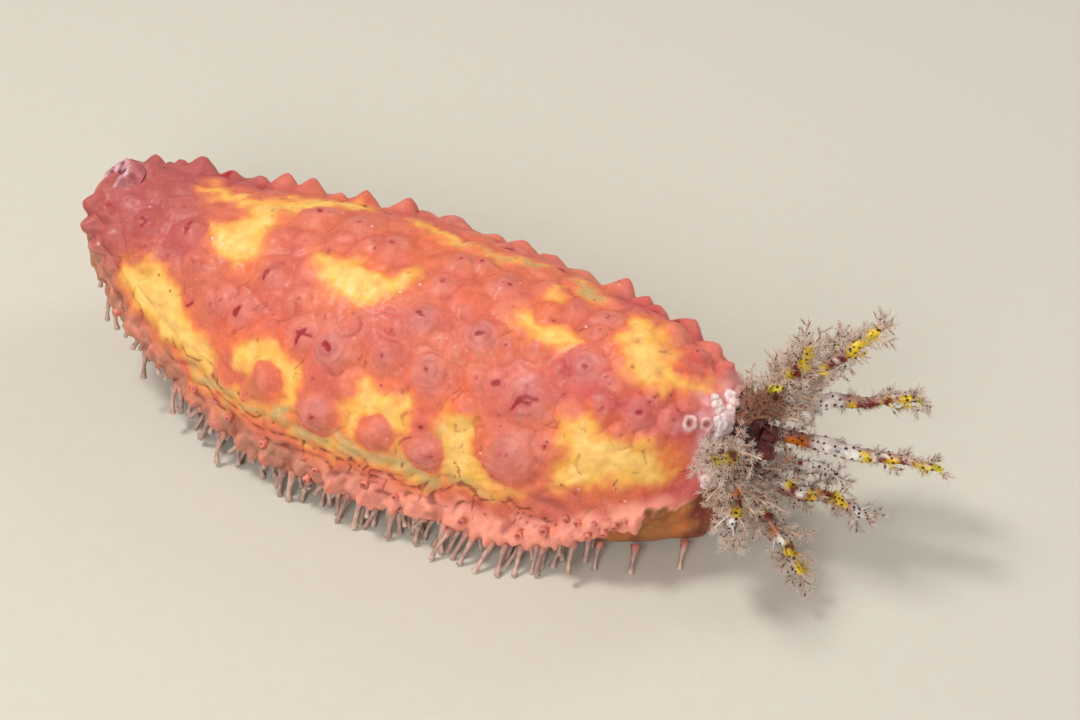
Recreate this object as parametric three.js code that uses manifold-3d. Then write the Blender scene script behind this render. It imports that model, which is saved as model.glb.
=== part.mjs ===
// A red and yellow sea cucumber creeping over a flat floor, life size, in millimetres.
// +X points to the head, +Y to the animal's left and +Z up. The floor is z = 0, and the
// origin is the flat of a tube foot under the middle of the sole.
import * as THREE from "three";
import { ParametricGeometry } from "three/addons/geometries/ParametricGeometry.js";
import { mergeVertices } from "three/addons/utils/BufferGeometryUtils.js";
import Module from "manifold-3d";

const wasm = await Module();
wasm.setup();

// Driving dimensions. A share is counted along the body from the anus (0) to the mouth (1),
// and an angle round a cross-section from the right margin (0) over the back (90).
const GAP = 0.3; // between nodes that touch
const FINEST = 0.05; // slivers left by a union are cleared up to this size
const BODY = {
  length: 88,
  widestShare: 0.45,
  halfWidth: 19.6,
  domeHeight: 21.5,
  rearRoundness: 2.6,
  frontWidth: 0.44, // of the widest, at the oral end
  frontHeight: 0.56,
  frontTaper: 2.3,
  squareness: 2.2,
  lip: { reach: 1.3, halfHeight: 1.7, drop: 1.7, frontDrop: 2.3 },
  rimShare: 0.93, // where the oral end starts to round over
  rimTuck: 0.25,
  rimLift: 6,
  marginHeights: [
    [0, 19.5],
    [0.08, 14.2],
    [0.2, 8.4],
    [0.35, 5],
    [0.65, 4.7],
    [0.8, 4],
    [0.9, 7.4],
    [1, 10.4],
  ],
  soleHeights: [[0, 17], [0.08, 11.2], [0.2, 5], [0.35, 2.1], [0.6, 1.6], [0.8, 1], [0.9, 0.7], [1.03, 0.6]],
  // The middle line's bends to the left, and trims of the plan and of the dome.
  bends: [[0, -0.8], [0.2, 0.4], [0.45, 0], [0.7, -0.1], [0.88, -1.2], [1, 0]],
  widthTrims: [[0, 0.77], [0.15, 0.8], [0.45, 0.98], [0.7, 1.01], [0.85, 0.98], [1, 0.95]],
  domeTrims: [[0, 0.67], [0.1, 0.69], [0.25, 0.82], [0.45, 0.94], [0.65, 0.98], [0.85, 1.2], [1, 0.93]],
};
const TRUNK_GRID = { over: 20, under: 6, along: 32 };
const PART_CUTS = [0.34, 0.67];
// The sole runs a little past the mouth, below it, and its edge draws near the margin there.
const SOLE = {
  from: 0.05,
  to: 1.03,
  insets: [[0, 3.1], [0.8, 3.1], [0.9, 2.3], [0.95, 1.7], [1, 0.6], [1.03, 0.3]],
  topLimit: 9.2,
  squareness: 4.4,
  around: 14,
  along: 22,
};
// Papillae stand in rows along the back, each row at its own angle.
const PAPILLA = {
  rows: [16, 36, 57, 80, 103, 126, 148, 166],
  perRow: 9,
  from: 0.06,
  to: 0.93,
  baseRadius: 2.6,
  height: 2.1,
  sunk: 0.7,
  sides: 6,
};
const FOOT = {
  perSide: 28,
  from: 0.07,
  to: 0.86,
  alongSole: 13,
  soleSpacing: 4.4,
  rootRadius: 0.5,
  neckRadius: 0.3,
  discRadius: 0.55,
  neckHeight: 0.8,
  longest: 4.6, // how far a foot hangs where the floor is out of reach
  splays: [[0, 1.6], [0.5, 2], [0.7, 3.4], [0.8, 3.6], [0.9, 2.8]],
  sides: 4,
};
const ANUS = { share: 0.03, axis: [-0.5, -0.3, 0.82], radius: 2.8, length: 1.5, lobes: 5, lobeRadius: 1 };
// A valve is a fan of bulbs on the rim of the mouth: each bulb's distance back from the rim,
// its turn to the side in degrees, and its radius. The lowest valve has no tail of bulbs.
const VALVE = {
  angles: [12, 51, 90, 150, 270],
  bulbs: [[0.2, 0, 1.3], [0.6, 12, 1.0], [0.6, -12, 0.95]],
  tail: [[2.5, 5, 0.95], [4.4, 0, 0.8]],
};
const INTROVERT = { radius: 4.9, length: 4.4, recess: 2.4, height: 14.9 };
const MOUTH = { radius: 2.2, height: 1.3, lobes: 5 };
// One row for each arm: its place round the mouth in degrees, the point its tip reaches from
// the centre of the crown, its sideways bow, and how many side branches it carries.
const TENTACLES = [
  { place: 28, tip: [2.8, -13.4, 8.4], bow: 1.2, branches: 6 },
  { place: 64, tip: [8.4, 0, 15.9], bow: 0.4, branches: 7 },
  { place: 100, tip: [14.5, 8, 15.4], bow: 0.5, branches: 8 },
  { place: 136, tip: [9.2, 11, 8.2], bow: 1.2, branches: 7 },
  { place: 172, tip: [19.2, 12, 2.8], bow: 2, branches: 8 },
  { place: 208, tip: [24.2, 5, 0], bow: 0.4, branches: 8 },
  { place: 244, tip: [12, 8, -9.5], bow: 1, branches: 6 },
  { place: 280, tip: [18, 2, -7.9], bow: 1, branches: 7 },
  { place: 316, tip: [13.2, -7.6, -10.7], bow: 1.2, branches: 7 },
  { place: 352, tip: [5.2, -11, -4.4], bow: 2, branches: 6 },
];
const ARM = { rootRadius: 0.88, tipRadius: 0.35, ring: 4, seat: 3, ahead: 1.6, sides: 6, steps: 3 };
const BRANCH = { length: 4.6, rootRadius: 0.48, tipRadius: 0.27, sides: 4, steps: 2, from: 0.24 };
const TWIG = { length: 2.3, rootRadius: 0.32, sides: 3, perBranch: 2 };

const COLOURS = {
  skin: { color: 0xe8705c, roughness: 0.42, metalness: 0 },
  skinYellow: { color: 0xf3b552, roughness: 0.42, metalness: 0 },
  sole: { color: 0xc98a4b, roughness: 0.5, metalness: 0 },
  pale: { color: 0xf0c8c8, roughness: 0.45, metalness: 0 },
  mouth: { color: 0x7c2027, roughness: 0.35, metalness: 0 },
  tentacle: { color: 0xb9a28e, roughness: 0.4, metalness: 0 },
};

const UP = new THREE.Vector3(0, 0, 1);
const rad = THREE.MathUtils.degToRad;
const lerp = THREE.MathUtils.lerp;
const clamp = THREE.MathUtils.clamp;

// A repeatable draw between -1 and 1 for a piece's number and a purpose.
function vary(number, purpose) {
  const wave = Math.sin(number * 12.9898 + purpose * 78.233) * 43758.5453;
  return 2 * (wave - Math.floor(wave)) - 1;
}

// A smooth curve through [place, value] knots, with the slope at each knot from its neighbours.
function through(knots, place) {
  const last = knots.length - 1;
  let i = 0;
  while (i < last - 1 && place > knots[i + 1][0]) i += 1;
  const slope = (k) => {
    const before = knots[Math.max(k - 1, 0)];
    const after = knots[Math.min(k + 1, last)];
    return (after[1] - before[1]) / (after[0] - before[0]);
  };
  const width = knots[i + 1][0] - knots[i][0];
  const t = clamp((place - knots[i][0]) / width, 0, 1);
  const rise = knots[i][1] * (2 * t ** 3 - 3 * t ** 2 + 1) + knots[i + 1][1] * (3 * t ** 2 - 2 * t ** 3);
  return rise + width * (slope(i) * (t ** 3 - 2 * t ** 2 + t) + slope(i + 1) * (t ** 3 - t ** 2));
}

// A closed geometry as a solid: shared points merged, collapsed faces dropped, faces out.
function solidOf(geometry) {
  const bare = new THREE.BufferGeometry();
  bare.setAttribute("position", geometry.getAttribute("position"));
  bare.setIndex(geometry.getIndex());
  const merged = mergeVertices(bare, 1e-4);
  const corners = [];
  for (let i = 0; i < merged.index.count; i += 3) {
    const [a, b, c] = [merged.index.getX(i), merged.index.getX(i + 1), merged.index.getX(i + 2)];
    if (a !== b && b !== c && c !== a) corners.push([a, b, c]);
  }
  const make = (faces) =>
    new wasm.Manifold(
      new wasm.Mesh({
        numProp: 3,
        vertProperties: merged.attributes.position.array,
        triVerts: new Uint32Array(faces.flat()),
      }),
    );
  const made = make(corners);
  return made.volume() > 0 ? made : make(corners.map(([a, b, c]) => [a, c, b]));
}

// The largest closed body of a solid, which drops loose scraps.
function largest(solid) {
  return solid.decompose().reduce((a, b) => (b.volume() > a.volume() ? b : a));
}

function meshOf(name, solid, finish) {
  const { numProp, vertProperties, triVerts } = largest(solid.simplify(FINEST)).getMesh();
  const points = new Float32Array((vertProperties.length / numProp) * 3);
  for (let i = 0; i < points.length / 3; i += 1) {
    points.set(vertProperties.subarray(i * numProp, i * numProp + 3), i * 3);
  }
  const geometry = new THREE.BufferGeometry();
  geometry.setAttribute("position", new THREE.BufferAttribute(points, 3));
  geometry.setIndex(new THREE.BufferAttribute(triVerts, 1));
  geometry.computeVertexNormals();
  const mesh = new THREE.Mesh(geometry, new THREE.MeshStandardMaterial(finish));
  mesh.name = name;
  return mesh;
}

// A closed skin over rings, each with a centre, a radius and two directions across. The
// first ring closes on its centre, and so does the last, or a pointed one on a tip ahead.
function skinned(rings, sides, tip) {
  const last = rings.length - 1;
  const stacks = rings.length + 1;
  const surface = (u, v, target) => {
    const row = Math.round(v * stacks);
    const ring = rings[clamp(row - 1, 0, last)];
    const turn = 2 * Math.PI * (u % 1);
    target.copy(row === stacks && tip ? tip : ring.centre);
    if (row === 0 || row === stacks) return;
    target.addScaledVector(ring.across, ring.radius * Math.cos(turn));
    target.addScaledVector(ring.side, ring.radius * Math.sin(turn));
  };
  return solidOf(new ParametricGeometry(surface, sides, stacks));
}

// A tube along a curve. radiusAt takes the share of the way. A pointed one has its last
// ring's centre for a tip.
function tube(curve, radiusAt, sides, steps, pointed = false) {
  const rings = [];
  let across = new THREE.Vector3();
  for (let i = 0; i <= steps; i += 1) {
    const share = i / steps;
    const along = curve.getTangentAt(share);
    if (i === 0) across = anyAcross(along);
    across.addScaledVector(along, -across.dot(along)).normalize();
    const side = new THREE.Vector3().crossVectors(along, across);
    rings.push({ centre: curve.getPointAt(share), across: across.clone(), side, radius: radiusAt(share) });
  }
  return pointed ? skinned(rings.slice(0, -1), sides, rings[steps].centre) : skinned(rings, sides);
}

function anyAcross(along) {
  const helper = Math.abs(along.z) < 0.9 ? UP : new THREE.Vector3(1, 0, 0);
  return new THREE.Vector3().crossVectors(along, helper).normalize();
}

// Rotation that turns +Z onto a direction, and a place for it.
function standing(place, direction) {
  const turn = new THREE.Quaternion().setFromUnitVectors(UP, direction.clone().normalize());
  return new THREE.Matrix4().compose(place, turn, new THREE.Vector3(1, 1, 1));
}

function placed(solid, matrix) {
  return solid.transform(matrix.elements);
}

// The trunk's outline in plan and from the side: rounded behind, tapered to a blunt mouth.
function girth(share, frontRatio) {
  const { widestShare: peak, rearRoundness, frontTaper } = BODY;
  if (share < peak) return Math.sqrt(1 - ((peak - share) / peak) ** rearRoundness);
  return 1 - (1 - frontRatio) * ((share - peak) / (1 - peak)) ** frontTaper;
}

// How far a section is drawn in where the oral end rounds over.
function rimScale(share) {
  const past = clamp((share - BODY.rimShare) / (1 - BODY.rimShare), 0, 1);
  return 1 - BODY.rimTuck * (1 - Math.sqrt(1 - past ** 2));
}

function section(share) {
  const scale = rimScale(share);
  return {
    x: (share - 0.5) * BODY.length,
    middle: through(BODY.bends, share),
    halfWidth: BODY.halfWidth * girth(share, BODY.frontWidth) * scale * through(BODY.widthTrims, share),
    dome: BODY.domeHeight * girth(share, BODY.frontHeight) * scale * through(BODY.domeTrims, share),
    margin: through(BODY.marginHeights, share) + (1 - scale) * BODY.rimLift,
    flesh: clamp(girth(share, BODY.frontWidth) * 2, 0, 1),
    drop: lerp(BODY.lip.drop, BODY.lip.frontDrop, THREE.MathUtils.smoothstep(share, 0.7, 1)),
  };
}

// A point on the trunk, by its share of the length and its angle round the section. The lip
// of the margin stands out sideways, and the underside is a shallow pan. grow moves it out.
function onTrunk(share, degrees, grow = 0) {
  const { x, middle, halfWidth, dome, margin, flesh, drop } = section(share);
  const { lip, squareness, length } = BODY;
  const c = Math.cos(rad(degrees));
  const s = Math.sin(rad(degrees));
  const across = Math.sign(c) * Math.abs(c) ** (2 / squareness);
  const up = Math.sign(s) * Math.abs(s) ** (2 / squareness);
  const rise = up > 0 ? (dome + grow) * up : (drop * flesh + grow) * -Math.sqrt(-up);
  const swell = lip.reach * flesh * Math.exp(-((rise / lip.halfHeight) ** 2));
  const along = x * (1 + (2 * grow) / length);
  return new THREE.Vector3(along, middle - (halfWidth + grow + swell) * across, margin + rise);
}

// The way out from the trunk at a point: across both the lengthwise and the crosswise step.
function trunkNormal(share, degrees) {
  const [ds, dt] = [0.004, 1];
  const ahead = onTrunk(Math.min(share + ds, 0.999), degrees);
  const along = ahead.sub(onTrunk(Math.max(share - ds, 0.001), degrees));
  const round = onTrunk(share, degrees + dt).sub(onTrunk(share, degrees - dt));
  return along.cross(round).normalize();
}

// The trunk as one closed body. The ends close on the middle of their last section.
function trunkSolid(grow = 0) {
  const { over, under, along } = TRUNK_GRID;
  const stacks = along + 1;
  const around = over + under;
  const surface = (u, v, target) => {
    const row = Math.round(v * stacks);
    const step = Math.round(u * around) % around;
    const degrees = step <= over ? (180 * step) / over : 180 + (180 * (step - over)) / under;
    const share = (1 - Math.cos((Math.PI * Math.min(row, along)) / along)) / 2;
    target.copy(onTrunk(share, degrees, grow));
    if (row === 0) target.set(-BODY.length / 2 - grow, section(0).middle, section(0).margin);
    if (row === stacks) target.set(BODY.length / 2 + grow, 0, INTROVERT.height);
  };
  return solidOf(new ParametricGeometry(surface, around, stacks));
}

// Whether a place along the body is too near a cut for a piece that wide.
function nearCut(share, width) {
  return PART_CUTS.some((cut) => Math.abs(cut - share) * BODY.length < width + GAP);
}

// A conical papilla, hollow-flanked, with its foot sunk in the skin.
function papilla(share, degrees, radius, height) {
  const { sunk, sides } = PAPILLA;
  const profile = [
    [0, -sunk],
    [radius, -sunk],
    [radius * 0.45, height * 0.6],
    [0, height],
  ];
  const points = profile.map(([r, z]) => new THREE.Vector2(r, z));
  const upright = solidOf(new THREE.LatheGeometry(points, sides).rotateX(Math.PI / 2));
  return placed(upright, standing(onTrunk(share, degrees), trunkNormal(share, degrees)));
}

// Papillae in staggered rows over the back and flanks, largest half way along.
function papillae() {
  const { rows, perRow, from, to, baseRadius, height } = PAPILLA;
  const made = [];
  rows.forEach((angle, row) => {
    for (let i = 0; i < perRow; i += 1) {
      const number = row * perRow + i;
      const stagger = row % 2 ? 0.5 : 0;
      const share = lerp(from, to, (i + stagger + 0.22 * vary(number, 1)) / perRow);
      const degrees = angle + 4 * vary(number, 2);
      const bulk = 0.72 + 0.28 * Math.sin(Math.PI * share) + 0.18 * vary(number, 3);
      const tall = height * bulk * (1 + 0.35 * vary(number, 4));
      const place = onTrunk(share, degrees);
      const nearAnus = place.distanceTo(anusPlace) < ANUS.radius * 1.15 + baseRadius * bulk + GAP;
      if (!nearAnus && !nearCut(share, 0)) made.push(papilla(share, degrees, baseRadius * bulk, tall));
    }
  });
  return made;
}

// A tube foot from a root inside the body to the flat of its sucker disc, which stays level.
function tubeFoot(root, tip) {
  const { rootRadius, neckRadius, neckHeight, discRadius, sides } = FOOT;
  const level = { across: new THREE.Vector3(1, 0, 0), side: new THREE.Vector3(0, 1, 0) };
  const neck = tip.clone().add(new THREE.Vector3(0, 0, neckHeight));
  const rings = [
    { centre: root, radius: rootRadius, ...level },
    { centre: neck, radius: neckRadius, ...level },
    { centre: tip, radius: discRadius, ...level },
  ];
  return skinned(rings, sides);
}

// The two fringes of tube feet, in a staggered double row under each margin. A foot that
// can't reach the floor hangs at its full length.
function marginFeet() {
  const made = [];
  for (const side of [-1, 1]) {
    for (let i = 0; i < FOOT.perSide; i += 1) {
      const number = i + (side > 0 ? 100 : 0);
      const share = lerp(FOOT.from, FOOT.to, (i + 0.5 + 0.3 * vary(number, 5)) / FOOT.perSide);
      const { x, middle, halfWidth, margin } = section(share);
      const inner = i % 2 ? 1.6 : 0;
      const root = new THREE.Vector3(x, middle + side * (halfWidth + 0.2 - inner), margin - 0.4);
      const tip = root.clone();
      tip.x += 0.5 * vary(number, 6);
      tip.y += side * (through(FOOT.splays, share) - inner * 0.5 + 0.4 * vary(number, 7));
      tip.z = Math.max(root.z - FOOT.longest * (0.95 + 0.1 * vary(number, 8)), 0);
      if (!nearCut(share, 1.1)) made.push(tubeFoot(root, tip));
    }
  }
  return made;
}

// The sole: a shallow pan under the trunk that deepens to a belly at the head. Its top reaches
// into the trunk, which is cut out of it later.
function onSole(share, turn) {
  const { x, middle, halfWidth, margin, drop } = section(share);
  const top = Math.min(margin - drop * 0.5, SOLE.topLimit + Math.max(0, 0.5 - share) * BODY.length);
  const bottom = through(BODY.soleHeights, share);
  const ends = Math.min((share - SOLE.from) / 0.1, (SOLE.to - share) / 0.035, 1);
  const round = Math.sqrt(clamp(ends * (2 - ends), 0, 1));
  const reach = Math.max(halfWidth - through(SOLE.insets, share), 0.5) * lerp(0.75, 1, round);
  const c = Math.cos(turn);
  const s = Math.sin(turn);
  const across = Math.sign(c) * Math.abs(c) ** (2 / SOLE.squareness);
  const down = s < 0 ? Math.abs(s) ** (2 / SOLE.squareness) : 0;
  return new THREE.Vector3(x, middle - reach * across, top - (top - bottom) * down * lerp(0.7, 1, round));
}

function soleSolid() {
  const { from, to, around, along } = SOLE;
  const stacks = along + 2;
  const surface = (u, v, target) => {
    const row = Math.round(v * stacks);
    const share = lerp(from, to, clamp((row - 1) / along, 0, 1));
    // Half of the steps run straight across the top and half round the belly.
    const step = Math.round(u * around) % around;
    const turn = Math.PI + (Math.PI * step) / (around - 3);
    target.copy(onSole(share, Math.min(turn, 2 * Math.PI)));
    if (step > around - 3) {
      const back = (step - (around - 3)) / 3;
      const left = onSole(share, Math.PI);
      const right = onSole(share, 2 * Math.PI);
      target.lerpVectors(right, left, back);
    }
    if (row === 0 || row === stacks) {
      const { x, middle, margin, drop } = section(share);
      target.set(x, middle, Math.min(margin - drop, SOLE.topLimit) - 1);
    }
  };
  return solidOf(new ParametricGeometry(surface, around, stacks));
}

// Tube feet down the middle of the sole, to either side in turn, with one at the origin.
function soleFeet() {
  const { alongSole, soleSpacing } = FOOT;
  const middle = (alongSole - 1) / 2;
  const made = [];
  for (let i = 0; i < alongSole; i += 1) {
    const x = (i - middle) * soleSpacing;
    const y = i === middle ? 0 : (i % 2 ? -1 : 1) * 1.6;
    const root = new THREE.Vector3(x, y, through(BODY.soleHeights, x / BODY.length + 0.5) + 0.5);
    made.push(tubeFoot(root, new THREE.Vector3(x, y, 0)));
  }
  return made;
}

// The anal cone: a short pale stub on the hind end of the back, with a ring of lobes.
const anusPlace = onTrunk(ANUS.share, 90);
const anusAxis = new THREE.Vector3(...ANUS.axis).normalize();

function analCone(grown) {
  const { radius, length, lobes, lobeRadius } = ANUS;
  const profile = [
    [0, -2.5],
    [radius * 1.15, -2.5],
    [radius, length * 0.5],
    [radius * 0.7, length * 0.85],
    [0, length * 0.5],
  ];
  const points = profile.map(([r, z]) => new THREE.Vector2(r, z));
  const pieces = [solidOf(new THREE.LatheGeometry(points, 8).rotateX(Math.PI / 2))];
  for (let i = 0; i < lobes; i += 1) {
    const turn = (2 * Math.PI * i) / lobes;
    const lobe = new THREE.SphereGeometry(lobeRadius, 6, 3);
    lobe.translate(radius * 0.68 * Math.cos(turn), radius * 0.68 * Math.sin(turn), length * 0.8);
    pieces.push(solidOf(lobe));
  }
  return placed(wasm.Manifold.union(pieces), standing(anusPlace, anusAxis)).subtract(grown);
}

// An oral valve: bulbs on the rim of the mouth, and a ridge of smaller ones behind them. grow
// swells the bulbs.
function oralValve(angle, grow = 0) {
  const upper = angle < 180;
  const place = (back, turn, lift) => {
    const share = Math.min(1 - back / BODY.length, 0.99);
    const degrees = angle + turn;
    const point = onTrunk(share, degrees).addScaledVector(trunkNormal(share, degrees), lift);
    point.x = BODY.length / 2 - back;
    return point;
  };
  const bulbs = upper ? [...VALVE.bulbs, ...VALVE.tail] : VALVE.bulbs;
  const pieces = bulbs.map(([back, turn, radius]) => {
    const centre = place(back, turn, radius * 0.35);
    const bulb = new THREE.SphereGeometry(radius + grow, 6, 4);
    return solidOf(bulb.translate(centre.x, centre.y, centre.z));
  });
  if (upper) {
    const ridge = new THREE.CatmullRomCurve3([place(0, 0, 0.4), place(2.2, 4, 0.4), place(4.2, 0, 0.4)]);
    pieces.push(tube(ridge, () => 0.75, 5, 2));
  }
  return wasm.Manifold.union(pieces);
}

const mouthCentre = new THREE.Vector3(BODY.length / 2, 0, INTROVERT.height);

// The introvert: the soft dark collar that carries the arms, seated in the oral end.
function introvertProfile(grow) {
  const { radius, length, recess } = INTROVERT;
  return [
    [0, -recess - grow],
    [radius + grow, -recess - grow],
    [radius * 0.94 + grow, length * 0.6],
    [radius * 0.72 + grow, length + grow],
    [0, length + grow],
  ].map(([r, z]) => new THREE.Vector2(r, z));
}

function introvertSolid(grow = 0) {
  const turned = new THREE.LatheGeometry(introvertProfile(grow), 16).rotateZ(-Math.PI / 2);
  turned.translate(mouthCentre.x, mouthCentre.y, mouthCentre.z);
  return solidOf(turned);
}

function mouthSolid() {
  const { radius, height, lobes } = MOUTH;
  const base = INTROVERT.length + GAP;
  const pieces = [];
  for (let i = 0; i < lobes; i += 1) {
    const turn = (2 * Math.PI * i) / lobes;
    const lobe = new THREE.SphereGeometry(radius * 0.5, 6, 4).scale(height / radius, 1, 1);
    lobe.translate(base + 0.35, radius * 0.52 * Math.cos(turn), radius * 0.52 * Math.sin(turn));
    pieces.push(solidOf(lobe));
  }
  const core = new THREE.CylinderGeometry(radius * 0.5, radius * 0.5, height * 0.6, 8);
  pieces.push(solidOf(core.rotateZ(-Math.PI / 2).translate(base + height * 0.3, 0, 0)));
  const place = new THREE.Matrix4().makeTranslation(mouthCentre);
  return placed(wasm.Manifold.union(pieces), place).subtract(introvertSolid(GAP));
}

// The bowed line of an arm, from its seat on the collar to its tip.
function stemOf(arm) {
  const turn = rad(arm.place);
  const outward = new THREE.Vector3(0, -Math.cos(turn), Math.sin(turn));
  const root = mouthCentre.clone().addScaledVector(outward, ARM.ring);
  root.x += ARM.seat;
  const tip = mouthCentre.clone().add(new THREE.Vector3(...arm.tip));
  const middle = root.clone().lerp(tip, 0.45).addScaledVector(outward, arm.bow);
  middle.x += ARM.ahead;
  return new THREE.QuadraticBezierCurve3(root, middle, tip);
}

function stemSolid(stem) {
  return tube(stem, (share) => lerp(ARM.rootRadius, ARM.tipRadius, share), ARM.sides, ARM.steps);
}

// One tree-like arm: its stem, side branches that leave it all round, and twigs on those.
// Whatever would come near another arm or the floor is left out.
function tentacle(stem, index, keepClear) {
  const { branches } = TENTACLES[index];
  const clear = (solid) => {
    const low = solid.boundingBox().min[2];
    return low > 0.3 && keepClear.every((other) => solid.minGap(other, 1) > GAP);
  };
  const pieces = [stemSolid(stem)];
  for (let i = 0; i < branches; i += 1) {
    const number = index * 20 + i;
    const share = lerp(BRANCH.from, 1, (i + 0.35 * vary(number, 11) + 0.4) / branches);
    const along = stem.getTangentAt(share);
    const side = anyAcross(along).applyAxisAngle(along, 2.4 * i + 0.5 * vary(number, 12));
    const length = BRANCH.length * (1 - 0.45 * share) * (1 + 0.2 * vary(number, 13));
    const start = stem.getPointAt(share);
    const end = start.clone().addScaledVector(side, length * 0.8).addScaledVector(along, length * 0.62);
    const bend = start.clone().addScaledVector(side, length * 0.5).addScaledVector(along, length * 0.15);
    const way = new THREE.QuadraticBezierCurve3(start, bend, end);
    const thin = (part) => lerp(BRANCH.rootRadius, BRANCH.tipRadius, part);
    const limb = tube(way, thin, BRANCH.sides, BRANCH.steps, true);
    if (!clear(limb)) continue;
    pieces.push(limb);
    for (let k = 0; k < TWIG.perBranch; k += 1) {
      const spot = 0.36 + 0.3 * k;
      const from = way.getPointAt(spot);
      const lead = way.getTangentAt(spot);
      const off = anyAcross(lead).applyAxisAngle(lead, 2.3 * k + 1.1 * vary(number, 14 + k));
      const to = from.clone().addScaledVector(off, TWIG.length * 0.75);
      to.addScaledVector(lead, TWIG.length * 0.6);
      const twig = tube(new THREE.LineCurve3(from, to), () => TWIG.rootRadius, TWIG.sides, 1, true);
      if (clear(twig)) pieces.push(twig);
    }
  }
  return wasm.Manifold.union(pieces);
}

// The whole trunk with its papillae and fringe, parted crosswise into three lengths.
function trunkNodes() {
  const recess = introvertSolid(GAP);
  const whole = wasm.Manifold.union([trunkSolid(), ...papillae(), ...marginFeet()]).subtract(recess);
  const places = PART_CUTS.map((cut) => (cut - 0.5) * BODY.length);
  const behind = (solid, x) => solid.trimByPlane([-1, 0, 0], -x);
  const ahead = (solid, x) => solid.trimByPlane([1, 0, 0], x);
  const [first, second] = places;
  return [
    meshOf("body_rear", behind(whole, first - GAP / 2), COLOURS.skin),
    meshOf("body_middle", behind(ahead(whole, first + GAP / 2), second - GAP / 2), COLOURS.skin),
    meshOf("body_front", ahead(whole, second + GAP / 2), COLOURS.skin),
  ];
}

const seaCucumber = new THREE.Group();
seaCucumber.name = "sea_cucumber";
const grownTrunk = trunkSolid(GAP);
const grownIntrovert = introvertSolid(GAP);

seaCucumber.add(...trunkNodes());
const lowestValve = oralValve(VALVE.angles.at(-1), 1.2 * GAP);
const aboveSole = wasm.Manifold.union([grownTrunk, grownIntrovert, lowestValve]);
const sole = largest(wasm.Manifold.union([soleSolid(), ...soleFeet()]).subtract(aboveSole));
seaCucumber.add(meshOf("sole", sole, COLOURS.sole));
seaCucumber.add(meshOf("anal_cone", analCone(grownTrunk), COLOURS.pale));
const besideValves = wasm.Manifold.union([grownTrunk, grownIntrovert]);
const valves = VALVE.angles.map((angle) => oralValve(angle).subtract(besideValves));
valves.forEach((valve, i) => seaCucumber.add(meshOf(`oral_valve_${i + 1}`, valve, COLOURS.pale)));
seaCucumber.add(meshOf("introvert", introvertSolid(), COLOURS.mouth));
const mouth = mouthSolid();
seaCucumber.add(meshOf("mouth", mouth, COLOURS.mouth));

const stems = TENTACLES.map(stemOf);
const stemSolids = stems.map(stemSolid);
const keepClear = [grownTrunk, sole, mouth, ...valves];
stems.forEach((stem, i) => {
  const others = stemSolids.filter((_, k) => k > i);
  const arm = largest(tentacle(stem, i, [...keepClear, ...others]).subtract(grownIntrovert));
  keepClear.push(arm);
  seaCucumber.add(meshOf(`tentacle_${i + 1}`, arm, COLOURS.tentacle));
});

export default seaCucumber;
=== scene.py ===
# Looks for the red and yellow sea cucumber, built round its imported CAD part.
# Lengths are worked out in millimetres and put into the meshes in metres.
import math
import bpy
import numpy as np
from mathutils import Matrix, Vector


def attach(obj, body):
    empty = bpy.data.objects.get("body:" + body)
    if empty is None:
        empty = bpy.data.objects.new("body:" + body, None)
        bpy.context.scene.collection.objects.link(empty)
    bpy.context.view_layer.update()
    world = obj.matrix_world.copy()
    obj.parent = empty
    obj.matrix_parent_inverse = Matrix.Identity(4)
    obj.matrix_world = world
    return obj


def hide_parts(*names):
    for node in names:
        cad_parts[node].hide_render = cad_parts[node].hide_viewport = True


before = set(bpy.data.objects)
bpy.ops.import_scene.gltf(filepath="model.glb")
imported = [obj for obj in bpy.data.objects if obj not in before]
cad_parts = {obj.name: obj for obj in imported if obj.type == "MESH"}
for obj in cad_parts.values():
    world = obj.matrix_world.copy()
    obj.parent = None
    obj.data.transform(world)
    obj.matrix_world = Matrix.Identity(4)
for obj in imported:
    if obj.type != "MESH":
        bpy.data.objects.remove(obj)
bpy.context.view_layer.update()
print("frame loaded")

mm = 0.001

# the photo's camera, found by laying the CAD outline over the photo
photoView = {
    "azimuth": 27.0, "elevation": 42.0, "lens": 60.0, "sensor": 36.0,
    "distance": 228.0, "target": (15.8, 7.6, 8.0), "size": (1080, 720),
}

# the trunk, as in the CAD: a share runs from the anus (0) to the mouth (1), and an angle
# from the right margin (0) over the back (90) to the left margin (180)
trunkForm = {
    "length": 88.0, "widest": 0.45, "halfWidth": 19.6, "dome": 21.5, "rearRound": 2.6,
    "frontWidth": 0.44, "frontHeight": 0.56, "taper": 2.3, "square": 2.2,
    "lipReach": 1.3, "lipHalf": 1.7, "lipDrop": 1.7, "frontDrop": 2.3,
    "rimShare": 0.93, "rimTuck": 0.25, "rimLift": 6.0,
    "margin": [(0, 19.5), (.08, 14.2), (.2, 8.4), (.35, 5.0), (.65, 4.7), (.8, 4.0), (.9, 7.4), (1, 10.4)],
    "sole": [(0, 17.0), (.08, 11.2), (.2, 5.0), (.35, 2.1), (.6, 1.6), (.8, 1.0), (.9, .7), (1.03, .6)],
    "bends": [(0, -.8), (.2, .4), (.45, 0), (.7, -.1), (.88, -1.2), (1, 0)],
    "widthTrims": [(0, .77), (.15, .8), (.45, .98), (.7, 1.01), (.85, .98), (1, .95)],
    "domeTrims": [(0, .67), (.1, .69), (.25, .82), (.45, .94), (.65, .98), (.85, 1.2), (1, .93)],
    "soleFrom": 0.05, "soleTo": 1.03, "soleSquare": 4.4,
    "insets": [(0, 3.1), (.8, 2.9), (.9, 1.3), (.95, .8), (1, .4), (1.03, .3)],
    "mouthHeight": 14.9, "mouthRadius": 5.1, "mouthDepth": 2.9,
}


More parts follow.
